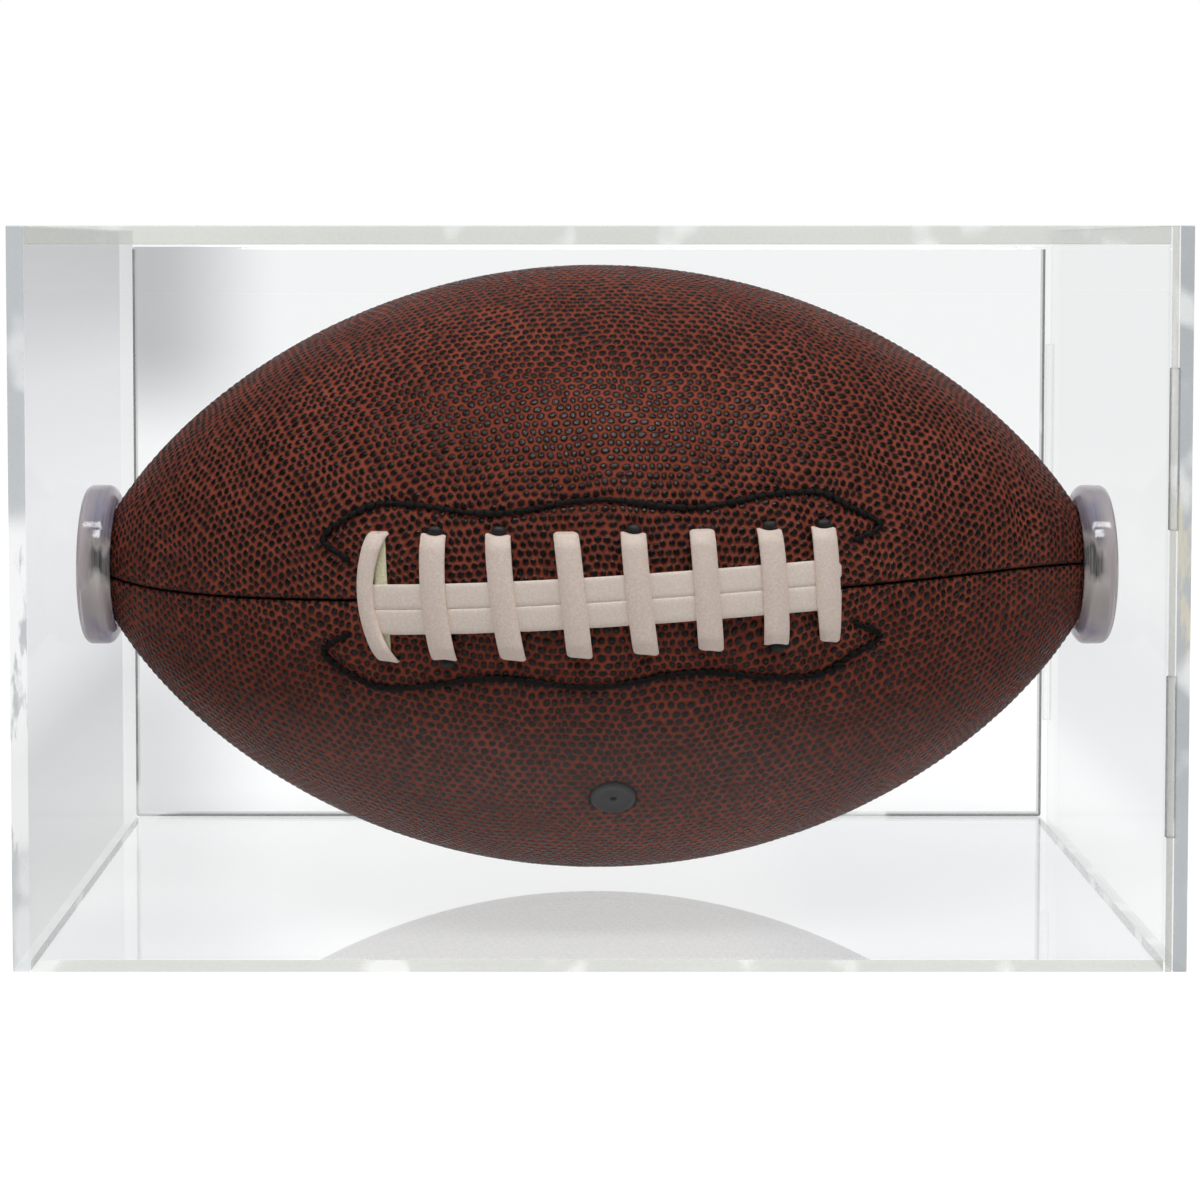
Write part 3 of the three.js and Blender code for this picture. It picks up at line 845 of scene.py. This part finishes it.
def leather_panel(node, start_degrees, material, order):
    """One quarter of the cover: pebbled outside, plain inside, turned in along its seams."""
    x, length, slope = (values[:, None] for values in meridian())
    radius = ball_radius(x)
    normal_x, normal_r = -slope, np.sqrt(1 - np.clip(slope, -1, 1) ** 2)
    inset = np.arcsin(np.minimum(SEAM_GAP / 2 / radius, 0.5))
    start = math.radians(start_degrees)
    fade = np.clip(radius / TIP_PLAIN, 0, 1)

    def angles(columns):
        even = np.linspace(0, 1, columns)[None]
        share = 0.8 * even + 0.2 * (0.5 - 0.5 * np.cos(np.pi * even))
        return share, inset + (math.pi / 2 - 2 * inset) * share

    def layer(angle, below):
        ring = np.maximum(radius - normal_r * below, 0.4 * TIP_HOLE)
        return round_axis(x - normal_x * below, ring, start + angle + seam_turn(x))

    share, angle = angles(PANEL_COLUMNS)
    flat = leather_map(x, length, slope, angle - math.pi / 4, order)
    from_seam = np.minimum(share, 1 - share) * radius * math.pi / 2
    inward = np.clip(1 - from_seam / SEAM_ROLL, 0, 1)
    rolled = SEAM_DEPTH * (1 - np.sqrt(1 - inward**2 * 0.999))
    facing_front = (start + angle + seam_turn(x) + math.pi) % (2 * math.pi) - math.pi
    creased = PEBBLE_DEPTH * (1 - pebble_rise(flat)) * (1 - 0.8 * inward)
    depth = (rolled + creased + pressed_in(x, radius, facing_front)) * fade
    outer = layer(angle, depth)

    _, inner_angle = angles(INNER_COLUMNS)
    thickness = LEATHER_THICKNESS * np.clip(radius / (8 * MM), 0.25, 1) + 0.6 * MM * fade
    inner = layer(inner_angle, np.maximum(thickness, depth.max(1)[:, None] + 0.3 * MM))
    inner_flat = leather_map(x, length, slope, inner_angle - math.pi / 4, order)

    vertices = np.concatenate([outer.reshape(-1, 3), inner.reshape(-1, 3)])
    faces = panel_faces(len(x), PANEL_COLUMNS, INNER_COLUMNS)
    piece = mesh_object(node.replace("leather", "cover"), vertices, faces, material)
    both = np.concatenate([flat.reshape(-1, 2), inner_flat.reshape(-1, 2)])
    corner = np.empty(len(piece.data.loops), int)
    piece.data.loops.foreach_get("vertex_index", corner)
    piece.data.uv_layers.new(name="leather").data.foreach_set("uv", both[corner].ravel())
    # Painted shade: the leather darkens into each seam's crease.
    dark = np.clip(1 - from_seam / SEAM_SHADE_REACH, 0, 1) ** 1.2 * np.ones_like(depth)
    dark = np.concatenate([dark.ravel(), np.zeros(inner_angle.size)])
    piece.data.attributes.new("seam", "FLOAT", "POINT").data.foreach_set("value", dark)
    finish_piece(piece, "football", "pebbled_leather", node)


def lace_strip(node, side, material):
    """A flat strip along the ball that swells between the bars and is pressed under them."""
    u = np.linspace(0, 1, 300)[:, None]
    v = np.linspace(-1, 1, 13)[None]
    x = STRIP_START + (STRIP_END - STRIP_START) * u
    room = np.clip((STRIP_END - x) / STRIP_ROUND, 0, 1)
    rounded = np.sqrt(1 - (1 - room) ** 2 * 0.85)
    arc = side * STRIP_SPACING / 2 + v * STRIP_WIDTH / 2 * rounded
    turn = STRIP_TURN + STRIP_TILT * x
    swell = 0.5 + 0.5 * np.cos(2 * np.pi * (x - LACE_X) / CROSSBAR_PITCH)
    top = STRIP_THICKNESS * (1 - 0.22 * v**6) * (0.3 + 0.7 * room**0.5) + STRIP_SWELL * swell
    outer = over_leather(x, arc, LACE_LIFT + top, turn)
    inner = over_leather(x, arc, -STRIP_SINKS + 0 * arc, turn)
    vertices, faces = thick_patch(outer, inner)
    piece = mesh_object(node.replace("lace_", "flat_"), vertices, faces, material)
    finish_piece(piece, "football", "lace", node)


def crossbar(number, material):
    """A cushioned bar over the strips. Its ends turn down into the leather, its corners last."""
    across = np.linspace(-1, 1, 25)[:, None]
    along = np.linspace(-1, 1, 81)[None]
    middle, half = crossbar_place(number)
    bow = BAR_BOWS[number - 1] * MM
    skew = BAR_SKEWS[number - 1]
    waist = 1 - 0.05 * np.abs(along) ** 5 - 0.03 * (1 - along**2)
    if number == 1:
        waist = FIRST_BAR_SHARE * waist * (1 - FIRST_BAR_WAIST * (1 - along**2))
    if number == CROSSBARS:
        waist = waist * (1 - LAST_BAR_TAPER * np.clip(-along - 0.3, 0, 1))
    is_open = np.where(along > 0, number in OPEN_TOPS, number in OPEN_FEET)
    hollow = np.where(is_open, *END_HOLLOWS) * (1 - (across - 0.15) ** 2)
    slant = np.where(along < 0, *END_SLANTS) * across
    hollow = hollow + END_CORNERS * across**8 - slant
    arc = along * half - np.sign(along) * hollow * np.abs(along) ** 12
    x = middle + across * CROSSBAR_WIDTH / 2 * waist - (CROSSBAR_LEAN + skew) * arc
    x = x + bow * (1 - along**2)
    on_strips = soft_step(np.clip(CROSSBAR_STEEP * (1 - np.abs(along)), 0, 1))
    rise = (STRIP_THICKNESS + CROSSBAR_CLEARS) * on_strips
    dive = np.clip((np.abs(along) + 0.02 * (1 - across**2) - 0.93) / 0.09, 0, 1)
    dive = CROSSBAR_DIVE * soft_step(dive)
    cushion = CROSSBAR_THICKNESS * (1 - 0.72 * np.abs(across) ** 2.6)
    height = LACE_LIFT + rise + cushion - dive
    turn = crossbar_turn(middle)
    outer = over_leather(x, arc, height, turn)
    under = 0.1 * MM + rise - 0.4 * MM * on_strips * np.abs(across) - dive
    inner = over_leather(x, arc, np.minimum(under, height - 0.35 * MM), turn)
    vertices, faces = thick_patch(outer, inner, flip=True)
    piece = mesh_object(f"lace_bar_{number}", vertices, faces, material)
    soften = piece.modifiers.new("soften", "SUBSURF")
    soften.levels = 1
    soften.render_levels = 1
    finish_piece(piece, "football", "lace", f"crossbar_{number}")


def first_bar_layer(material):
    """The other turn of lace at the first bar. It stays straight, and lies under the strips."""
    across = np.linspace(-1, 1, 9)[:, None]
    along = np.linspace(-1, 1, 61)[None]
    middle, half = crossbar_place(1)
    arc = along * (half - 1.2 * MM)
    x = middle - UNDER_LAYER_SHIFT + across * UNDER_LAYER_WIDTH / 2 - UNDER_LAYER_LEAN * arc
    dive = 1.2 * MM * np.clip((np.abs(along) - 0.92) / 0.08, 0, 1) ** 2
    height = 0.75 * MM - dive - 0.25 * MM * across**4
    outer = over_leather(x, arc, height, crossbar_turn(middle))
    inner = over_leather(x, arc, height - 0.8 * MM, crossbar_turn(middle))
    vertices, faces = thick_patch(outer, inner, flip=True)
    piece = mesh_object("lace_bar_1_under_layer", vertices, faces, material)
    finish_piece(piece, "football", "lace")


def blobs(name, frames, sizes, material, rings=9, segments=14):
    """One mesh of many smooth capsules, each with its own place, axes and half sizes."""
    tilt = np.linspace(0, np.pi, rings)
    turn = np.linspace(0, 2 * np.pi, segments, endpoint=False)
    unit = np.stack(
        [
            np.repeat(np.cos(tilt), segments),
            np.outer(np.sin(tilt), np.cos(turn)).ravel(),
            np.outer(np.sin(tilt), np.sin(turn)).ravel(),
        ],
        1,
    )
    unit = np.sign(unit) * np.abs(unit) ** 0.85
    index = np.arange(rings * segments).reshape(rings, segments)
    ahead = np.roll(index, -1, axis=1)
    faces = np.stack([a.ravel() for a in (index[:-1], ahead[:-1], ahead[1:], index[1:])], 1)
    vertices = [place + (unit * size) @ axes for (place, axes), size in zip(frames, sizes)]
    faces = [faces + i * len(unit) for i in range(len(frames))]
    piece = mesh_object(name, np.concatenate(vertices), np.concatenate(faces), material)
    weld(piece, 1e-6)
    return piece


def surface_frame(x, arc, height, direction, turn=0.0):
    """A place over the leather with axes along a flat direction, across it and outwards."""
    step = 0.2 * MM
    place = over_leather(x, arc, height, turn)
    ahead = over_leather(x + direction[0] * step, arc + direction[1] * step, height, turn)
    out = over_leather(x, arc, height + step, turn) - place
    out = out / np.linalg.norm(out)
    along = ahead - place
    along = along - out * (along @ out)
    along = along / np.linalg.norm(along)
    return place, np.array([along, np.cross(out, along), out])


def stitching(node, side, material, chance):
    """A row of separate stitches laid end to end along the outline."""
    line = stitch_line(side)
    step = np.linalg.norm(np.diff(line, axis=0), axis=1)
    length = np.concatenate([[0], np.cumsum(step)])
    count = int(length[-1] / STITCH_LENGTH)
    frames = []
    sizes = []

    def point(distance):
        return np.array([np.interp(distance, length, line[:, axis]) for axis in (0, 1)])

    for i in range(count):
        at = (i + 0.5) * length[-1] / count
        centre = point(at)
        direction = point(at + MM) - point(at - MM)
        direction = direction / np.linalg.norm(direction)
        spin = chance.uniform(-STITCH_SPIN, STITCH_SPIN)
        turned = np.array([
            direction[0] * math.cos(spin) - direction[1] * math.sin(spin),
            direction[0] * math.sin(spin) + direction[1] * math.cos(spin),
        ])
        turn = float(crossbar_turn(centre[0]))
        frames.append(surface_frame(centre[0], centre[1], -STITCH_SUNK, turned, turn))
        wide = STITCH_WIDTH / 2 * chance.uniform(0.8, 1.2)
        sizes.append((STITCH_LENGTH * 0.62, wide, STITCH_HEIGHT * 0.6))
    piece = blobs(node.replace("stitch", "stitching"), frames, sizes, material)
    finish_piece(piece, "football", "black_thread", node)


def painted_hole_shades(material):
    """Dark blobs sunk where each crossbar goes into the leather: painted shade in the lace holes."""
    frames = []
    sizes = []
    for x, arc, turn, is_open in lace_holes():
        inwards = math.copysign(OPEN_HOLE_INWARDS if is_open else CLOSED_HOLE_INWARDS, -arc)
        frames.append(
            surface_frame(x + HOLE_SHIFT, arc + inwards, -HOLE_SUNK, (1, 0), turn)
        )
        sizes.append(HOLE_HALF_SIZE)
    piece = blobs("lace_hole_shades", frames, sizes, material)
    finish_piece(piece, "football", "valve_rubber")


def turned_piece(name, profile, segments, place, axis, material):
    """A ring or plug turned from (radius, height) points that form a closed outline."""
    turn = np.linspace(0, 2 * np.pi, segments, endpoint=False)
    profile = np.array(profile)
    radius, height = profile[:, :1], profile[:, 1:]
    points = np.stack(
        np.broadcast_arrays(radius * np.cos(turn), radius * np.sin(turn), height), -1
    )
    rows = len(profile)
    index = np.arange(rows * segments).reshape(rows, segments)
    around = np.roll(index, -1, axis=1)
    above, around_above = np.roll(index, -1, axis=0), np.roll(around, -1, axis=0)
    faces = np.stack([a.ravel() for a in (index, around, around_above, above)], 1)
    spin = np.array(Vector(axis).to_track_quat("Z", "Y").to_matrix())
    vertices = points.reshape(-1, 3) @ spin.T + np.array(place)
    piece = mesh_object(name, vertices, faces, material)
    weld(piece, 1e-7)
    return piece


def valve_plug(material):
    """The rubber valve: a low dished disc with a raised rim round the needle hole."""
    outward = (0, -math.cos(VALVE_ANGLE), math.sin(VALVE_ANGLE))
    top = float(ball_radius(VALVE_X))
    profile = [
        (0.7, -9.0), (3.7, -9.0), (3.7, -2.6), (6.0, -2.6), (6.0, -0.6), (5.9, -0.2), (5.6, 0.12),
        (5.1, 0.2), (4.6, 0.1), (4.1, -0.15), (3.2, -0.22), (2.1, -0.2), (1.6, -0.1), (1.25, 0.05),
        (0.95, 0.02), (0.8, -0.3), (0.7, -1.5),
    ]
    profile = [(radius * MM, top + height * MM) for radius, height in profile]
    place = (BALL_X + VALVE_X, BALL_Y, BALL_Z)
    piece = turned_piece("valve_plug", profile, 64, place, outward, material)
    finish_piece(piece, "football", "valve_rubber", "valve")


# ---- case pieces ----


def sheet(
    node, thin, faces_material, edge_materials, body, bevel_material=None, bevel=SHEET_BEVEL
):
    """A bevelled sheet in a CAD box. thin is the axis of its thickness; edge_materials gives a material
    for the edges that face along each of the other two axes, and the first of them is the bevels'
    too unless they have their own."""
    shape = bmesh.new()
    add_block(shape, *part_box(node))
    bmesh.ops.bevel(
        shape, geom=list(shape.edges), offset=bevel, segments=2, affect="EDGES", profile=0.5
    )
    materials = [faces_material]
    for face in shape.faces:
        axis = max(range(3), key=lambda i: abs(face.normal[i]))
        if abs(face.normal[axis]) < 0.99:
            wanted = bevel_material or next(iter(edge_materials.values()))
        elif axis == thin:
            wanted = faces_material
        else:
            wanted = edge_materials[axis]
        if wanted not in materials:
            materials.append(wanted)
        face.material_index = materials.index(wanted)
    mesh = bpy.data.meshes.new(node)
    shape.to_mesh(mesh)
    shape.free()
    for material in materials:
        mesh.materials.append(material)
    piece = add_object(node.replace("panel", "sheet"), mesh)
    finish_piece(piece, body, "clear_sheet", node)
    return piece


def outline(low, high, room=0.0):
    """The corners of a rectangle in Y and Z, made larger all round by this much room."""
    low_y, low_z, high_y, high_z = low.y - room, low.z - room, high.y + room, high.z + room
    return [(low_y, low_z), (high_y, low_z), (high_y, high_z), (low_y, high_z)]


def finished_mesh(piece, removed=False):
    """The mesh that a piece has once its modifiers or its curve's thickness are worked out."""
    depsgraph = bpy.context.evaluated_depsgraph_get()
    mesh = bpy.data.meshes.new_from_object(piece.evaluated_get(depsgraph), depsgraph=depsgraph)
    if removed:
        bpy.data.objects.remove(piece)
    return mesh


def rim_piece(face_material, edge_material):
    """The frame bonded to the open end, with its window and its slots for the tabs."""
    low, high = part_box("right_rim")
    window_low = Vector((0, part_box("front_panel")[1].y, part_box("bottom_panel")[1].z))
    window_high = Vector((0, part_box("back_panel")[0].y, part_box("top_panel")[0].z))
    outlines = [outline(low, high), outline(window_low, window_high)]
    outlines += [outline(*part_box(tab), TAB_ROOM) for tab in TABS]
    curve = bpy.data.curves.new("rim", "CURVE")
    curve.dimensions = "2D"
    curve.fill_mode = "BOTH"
    curve.extrude = (high.x - low.x) / 2 - SHEET_BEVEL
    curve.bevel_depth = SHEET_BEVEL
    curve.bevel_resolution = 1
    curve.offset = -SHEET_BEVEL
    for corners in outlines:
        spline = curve.splines.new("POLY")
        spline.points.add(len(corners) - 1)
        spline.use_cyclic_u = True
        for point, (y, z) in zip(spline.points, corners):
            point.co = (y, z, 0, 1)
    mesh = finished_mesh(add_object("rim_curve", curve), True)
    turn = Matrix(((0, 0, 1, (low.x + high.x) / 2), (1, 0, 0, 0), (0, 1, 0, 0), (0, 0, 0, 1)))
    mesh.transform(turn)
    mesh.materials.clear()
    mesh.materials.append(face_material)
    mesh.materials.append(edge_material)
    for polygon in mesh.polygons:
        y, z = polygon.center.y, polygon.center.z
        outside = min(y - low.y, high.y - y, z - low.z, high.z - z) < 2 * SHEET_BEVEL
        polygon.material_index = int(outside and abs(polygon.normal.x) < 0.9)
    finish_piece(add_object("rim_frame", mesh), "case", "clear_sheet", "right_rim")


def end_plate_piece(face_material, edge_material, pocket_material):
    """The removable end, with a pocket on its inner face for each tab."""
    edges = {Y: edge_material, Z: edge_material}
    plate = sheet("end_plate", X, face_material, edges, "end_cap")
    plate.name = "end_sheet"
    cutter = bmesh.new()
    room = Vector((TAB_ROOM, TAB_ROOM, TAB_ROOM))
    for tab in TABS:
        low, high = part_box(tab)
        add_block(cutter, low - room, high + room)
    tool_mesh = bpy.data.meshes.new("pockets")
    cutter.to_mesh(tool_mesh)
    cutter.free()
    tool_mesh.materials.append(pocket_material)
    tool = add_object("pockets", tool_mesh)
    cut = plate.modifiers.new("pockets", "BOOLEAN")
    cut.operation = "DIFFERENCE"
    cut.solver = "EXACT"
    cut.object = tool
    cut.material_mode = "TRANSFER"
    result = finished_mesh(plate)
    plate.modifiers.clear()
    plate.data = result
    bpy.data.objects.remove(tool)


def quarter_round(start, end, steps=8):
    """Points of a quarter ellipse from start to end that leaves start along the first axis."""
    (r0, h0), (r1, h1) = start, end
    turns = np.linspace(0, math.pi / 2, steps + 1)
    return [(r0 + (r1 - r0) * math.sin(t), h0 + (h1 - h0) * (1 - math.cos(t))) for t in turns]


def cup_piece(node, direction, material, body):
    """A ring with rounded edges whose inside follows the tip of the ball."""
    low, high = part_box(node)
    wall = low.x if direction > 0 else high.x
    from_middle = abs(wall - BALL_X)
    lip = float(ball_radius(from_middle - CUP_LENGTH)) + CUP_CLEARANCE
    base = quarter_round((CUP_RADIUS - CUP_BASE_ROUND, 0), (CUP_RADIUS, CUP_BASE_ROUND))
    rim = quarter_round((lip, CUP_LENGTH), (CUP_RADIUS, CUP_LENGTH - CUP_RIM_ROUND))[::-1]
    dish = []
    for share in np.linspace(0, 1, 14)[1:]:
        radius = lip + (CUP_BORE - lip) * share**0.6
        dish.append((radius, from_middle - ball_reach(radius - CUP_CLEARANCE)))
    profile = [(CUP_BORE, 0)] + base + rim + dish
    place = (wall, BALL_Y, BALL_Z)
    name = node.replace("cup", "cup_ring")
    piece = turned_piece(name, profile, CUP_SEGMENTS, place, (direction, 0, 0), material)
    finish_piece(piece, body, "clear_cup", node)


# ---- stage ----


def add_camera():
    camera = add_object("camera", bpy.data.cameras.new("camera"))
    low, high = CAD_BOX
    place = ((low.x + high.x) / 2 - CAMERA_LEFT, low.y - CAMERA_AWAY, high.z - CAMERA_BELOW_TOP)
    camera.location = place
    camera.rotation_euler = (math.radians(90 - CAMERA_DIPS), 0, 0)
    camera.data.lens = CAMERA_LENS
    camera.data.sensor_width = 36
    camera.data.shift_x, camera.data.shift_y = CAMERA_SHIFT
    camera.data.clip_start = 0.01
    bpy.context.scene.camera = camera


def add_area(name, place, target, size, power, only_gloss=False):
    light = add_object(name, bpy.data.lights.new(name, "AREA"))
    light.data.shape = "RECTANGLE"
    light.data.size, light.data.size_y = size
    light.data.energy = power
    light.location = place
    toward = Vector(target) - Vector(place)
    light.rotation_euler = toward.to_track_quat("-Z", "Y").to_euler()
    light.visible_camera = False
    light.visible_diffuse = not only_gloss


def add_world():
    """A white studio. To the eye it is white all round; as a light it is dimmer in front, and in
    reflections it is bright only overhead, as if the camera stood in front of a dark card."""
    s = Shader("studio", "worlds", "OutputWorld")
    s.owner.cycles.sampling_method = "NONE"
    axes = s.axes("Generated")
    path = s.add("LightPath")
    for_diffuse = s.ramp(axes["Y"], -0.9, -0.1, 0.27, 0.6)
    low_gloss = s.ramp(axes["Y"], -0.9, 0.0, 0.0, 0.07)
    level_gloss = s.ramp(axes["Z"], 0.6, 0.9, low_gloss, 0.3)
    for_glossy = s.ramp(axes["Y"], 0.6, 0.95, level_gloss, 1.0)
    with_diffuse = s.ramp(path.outputs["Is Diffuse Ray"], 0.0, 1.0, 1.0, for_diffuse)
    strength = s.ramp(path.outputs["Is Glossy Ray"], 0.0, 1.0, with_diffuse, for_glossy)
    background = s.node("Background", Color=(1, 1, 1), Strength=strength)
    bpy.context.scene.world = s.done(background)


def floor_material():
    """Pale studio floor that fades away well in front of the case."""
    s = Shader("studio_floor")
    mottle = s.noise(s.place(), 3, detail=2)
    path = s.add("LightPath")
    glow = s.ramp(path.outputs["Is Diffuse Ray"], 0.0, 1.0, 0.82, 0.22)
    glow = s.maths("SUBTRACT", glow, s.maths("MULTIPLY", path.outputs["Is Glossy Ray"], 0.3))
    surface = s.node(
        "BsdfPrincipled",
        Base_Color=s.mix(mottle, (0.32, 0.32, 0.32), (0.34, 0.34, 0.34)),
        Roughness=0.9,
        Specular_IOR_Level=0.1,
        Emission_Color=(1, 1, 1),
        Emission_Strength=glow,
    )
    clear = s.node("BsdfTransparent")
    return s.done(s.blend(s.ramp(s.axes()["Y"], *FLOOR_FADE), clear, surface))


def add_stage():
    scene = bpy.context.scene
    scene.view_settings.view_transform = "Standard"
    scene.cycles.transparent_max_bounces = 40
    scene.cycles.max_bounces = 14
    scene.cycles.transmission_bounces = 10
    scene.cycles.glossy_bounces = 6
    add_world()
    add_area("key", (0, -0.5, 1.15), (0, -0.02, 0.1), size=(1.5, 0.18), power=9.4)
    place, target = (0.05, -0.82, 1.08), (0, -0.07, 0.13)
    add_area("sheen", place, target, size=(0.6, 0.26), power=7.5, only_gloss=True)
    (left, front), (right, back) = FLOOR_CORNERS
    corners = [(left, front, 0), (right, front, 0), (right, back, 0), (left, back, 0)]
    floor = mesh_object("floor", corners, np.array([(0, 1, 2, 3)]), floor_material())


# ---- assembly ----


def add_case():
    clear = clear_sheet("clear_sheet", (0.985, 0.987, 0.987))
    quiet = clear_sheet("clear_rim", (0.975, 0.977, 0.978), 0.06)
    floor = clear_sheet("clear_floor_sheet", floor_grey_tint, 1.1)
    front = clear_sheet("clear_front_sheet", (0.99, 0.993, 0.993))
    # Its tint holds a painted grey reflection in its upper left.
    back = clear_sheet("clear_back_sheet", back_painted_reflection)
    # Its tint holds painted grey reflections in bands.
    left = clear_sheet("clear_left_sheet", left_painted_reflection, 0.12)
    right = clear_sheet("clear_right_sheet", right_grey_tint, 0.12)
    green_edge = sheet_edge("green_edge", (0.70, 0.72, 0.63), 0.52)
    # Painted highlights: the white flecks on the left edges.
    painted_white_highlights = (25 * MM, 120 * MM, (1.0, 1.0, 1.0), 0.15)
    tan_flecks = (72 * MM, 128 * MM, (0.80, 0.74, 0.58), 1.0)
    left_edge = sheet_edge("left_edge", (0.60, 0.65, 0.69), 0.7, patch=painted_white_highlights)
    right_edge = sheet_edge("right_edge", (0.55, 0.59, 0.62), 0.8, patch=tan_flecks)
    rim_edge = sheet_edge("rim_edge", (0.60, 0.60, 0.54), 0.6)
    tab_edge = sheet_edge("tab_edge", (0.16, 0.17, 0.17), 0.7, True)
    back_tab_edge = sheet_edge("back_tab_edge", (0.80, 0.81, 0.80), 0.06, True)
    joint = sheet_edge("bonded_joint", (0.21, 0.21, 0.215), 0.63, True)
    pale_joint = sheet_edge("pale_joint", (0.34, 0.34, 0.34), 0.5, True)
    sheet("left_end_panel", X, left, {Y: left_edge, Z: left_edge}, "case")
    sheet("top_panel", Z, clear, {Y: green_edge, X: clear}, "case")
    sheet("bottom_panel", Z, floor, {Y: green_edge, X: pale_joint}, "case")
    sheet("front_panel", Y, front, {X: clear, Z: clear}, "case", clear)
    back_sheet = sheet("back_panel", Y, back, {X: joint, Z: joint}, "case", joint, BACK_BEVEL)
    for polygon in back_sheet.data.polygons:
        if polygon.normal.z > 0.3:
            polygon.material_index = 0  # its top edge is as clear as its faces
    rim_piece(quiet, rim_edge)
    end_plate_piece(right, right_edge, quiet)
    for tab in TABS:
        edge = tab_edge if "front" in tab else back_tab_edge
        piece = sheet(tab, Y, quiet, {X: edge, Z: edge}, "end_cap", edge)
        piece.name = tab.replace("tab", "locating_tab")
    cup = cup_acrylic()
    cup_piece("left_cup", 1, cup, "case")
    cup_piece("right_cup", -1, cup, "end_cap")


def add_ball():
    chance = np.random.default_rng(7)
    leather = pebbled_leather()
    for order, (node, start) in enumerate(LEATHER_NODES.items()):
        leather_panel(node, start, leather, order)
    strip = lace_material("lace_strip", (0.90, 0.78, 0.70), (0.80, 0.68, 0.60))
    bar = lace_material("lace_bar", (0.87, 0.73, 0.65), (0.76, 0.62, 0.54))
    for node, side in (("lace_strip_upper", 1), ("lace_strip_lower", -1)):
        lace_strip(node, side, strip)
    # Painted shade: the under layer is a darker, yellow-green copy of the lace colour.
    under = lace_material("lace_under_shaded", (0.82, 0.79, 0.55), (0.68, 0.65, 0.44))
    first_bar_layer(under)
    for number in range(1, CROSSBARS + 1):
        crossbar(number, bar)
    thread = thread_material()
    for node, side in (("stitch_upper", 1), ("stitch_lower", -1)):
        stitching(node, side, thread, chance)
    # Painted shade for the lace holes, as dark rubber.
    hole_shade_rubber = rubber_material("hole_shade", (0.006, 0.006, 0.006), (0.03, 0.03, 0.03))
    painted_hole_shades(hole_shade_rubber)
    valve_plug(rubber_material("valve_rubber", (0.022, 0.022, 0.024), (0.05, 0.05, 0.053)))
    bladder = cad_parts["bladder"]
    bladder.data.materials.clear()
    bladder.data.materials.append(
        rubber_material("bladder_rubber", (0.01, 0.01, 0.01), (0.03, 0.03, 0.03))
    )


add_camera()
add_stage()
add_case()
add_ball()
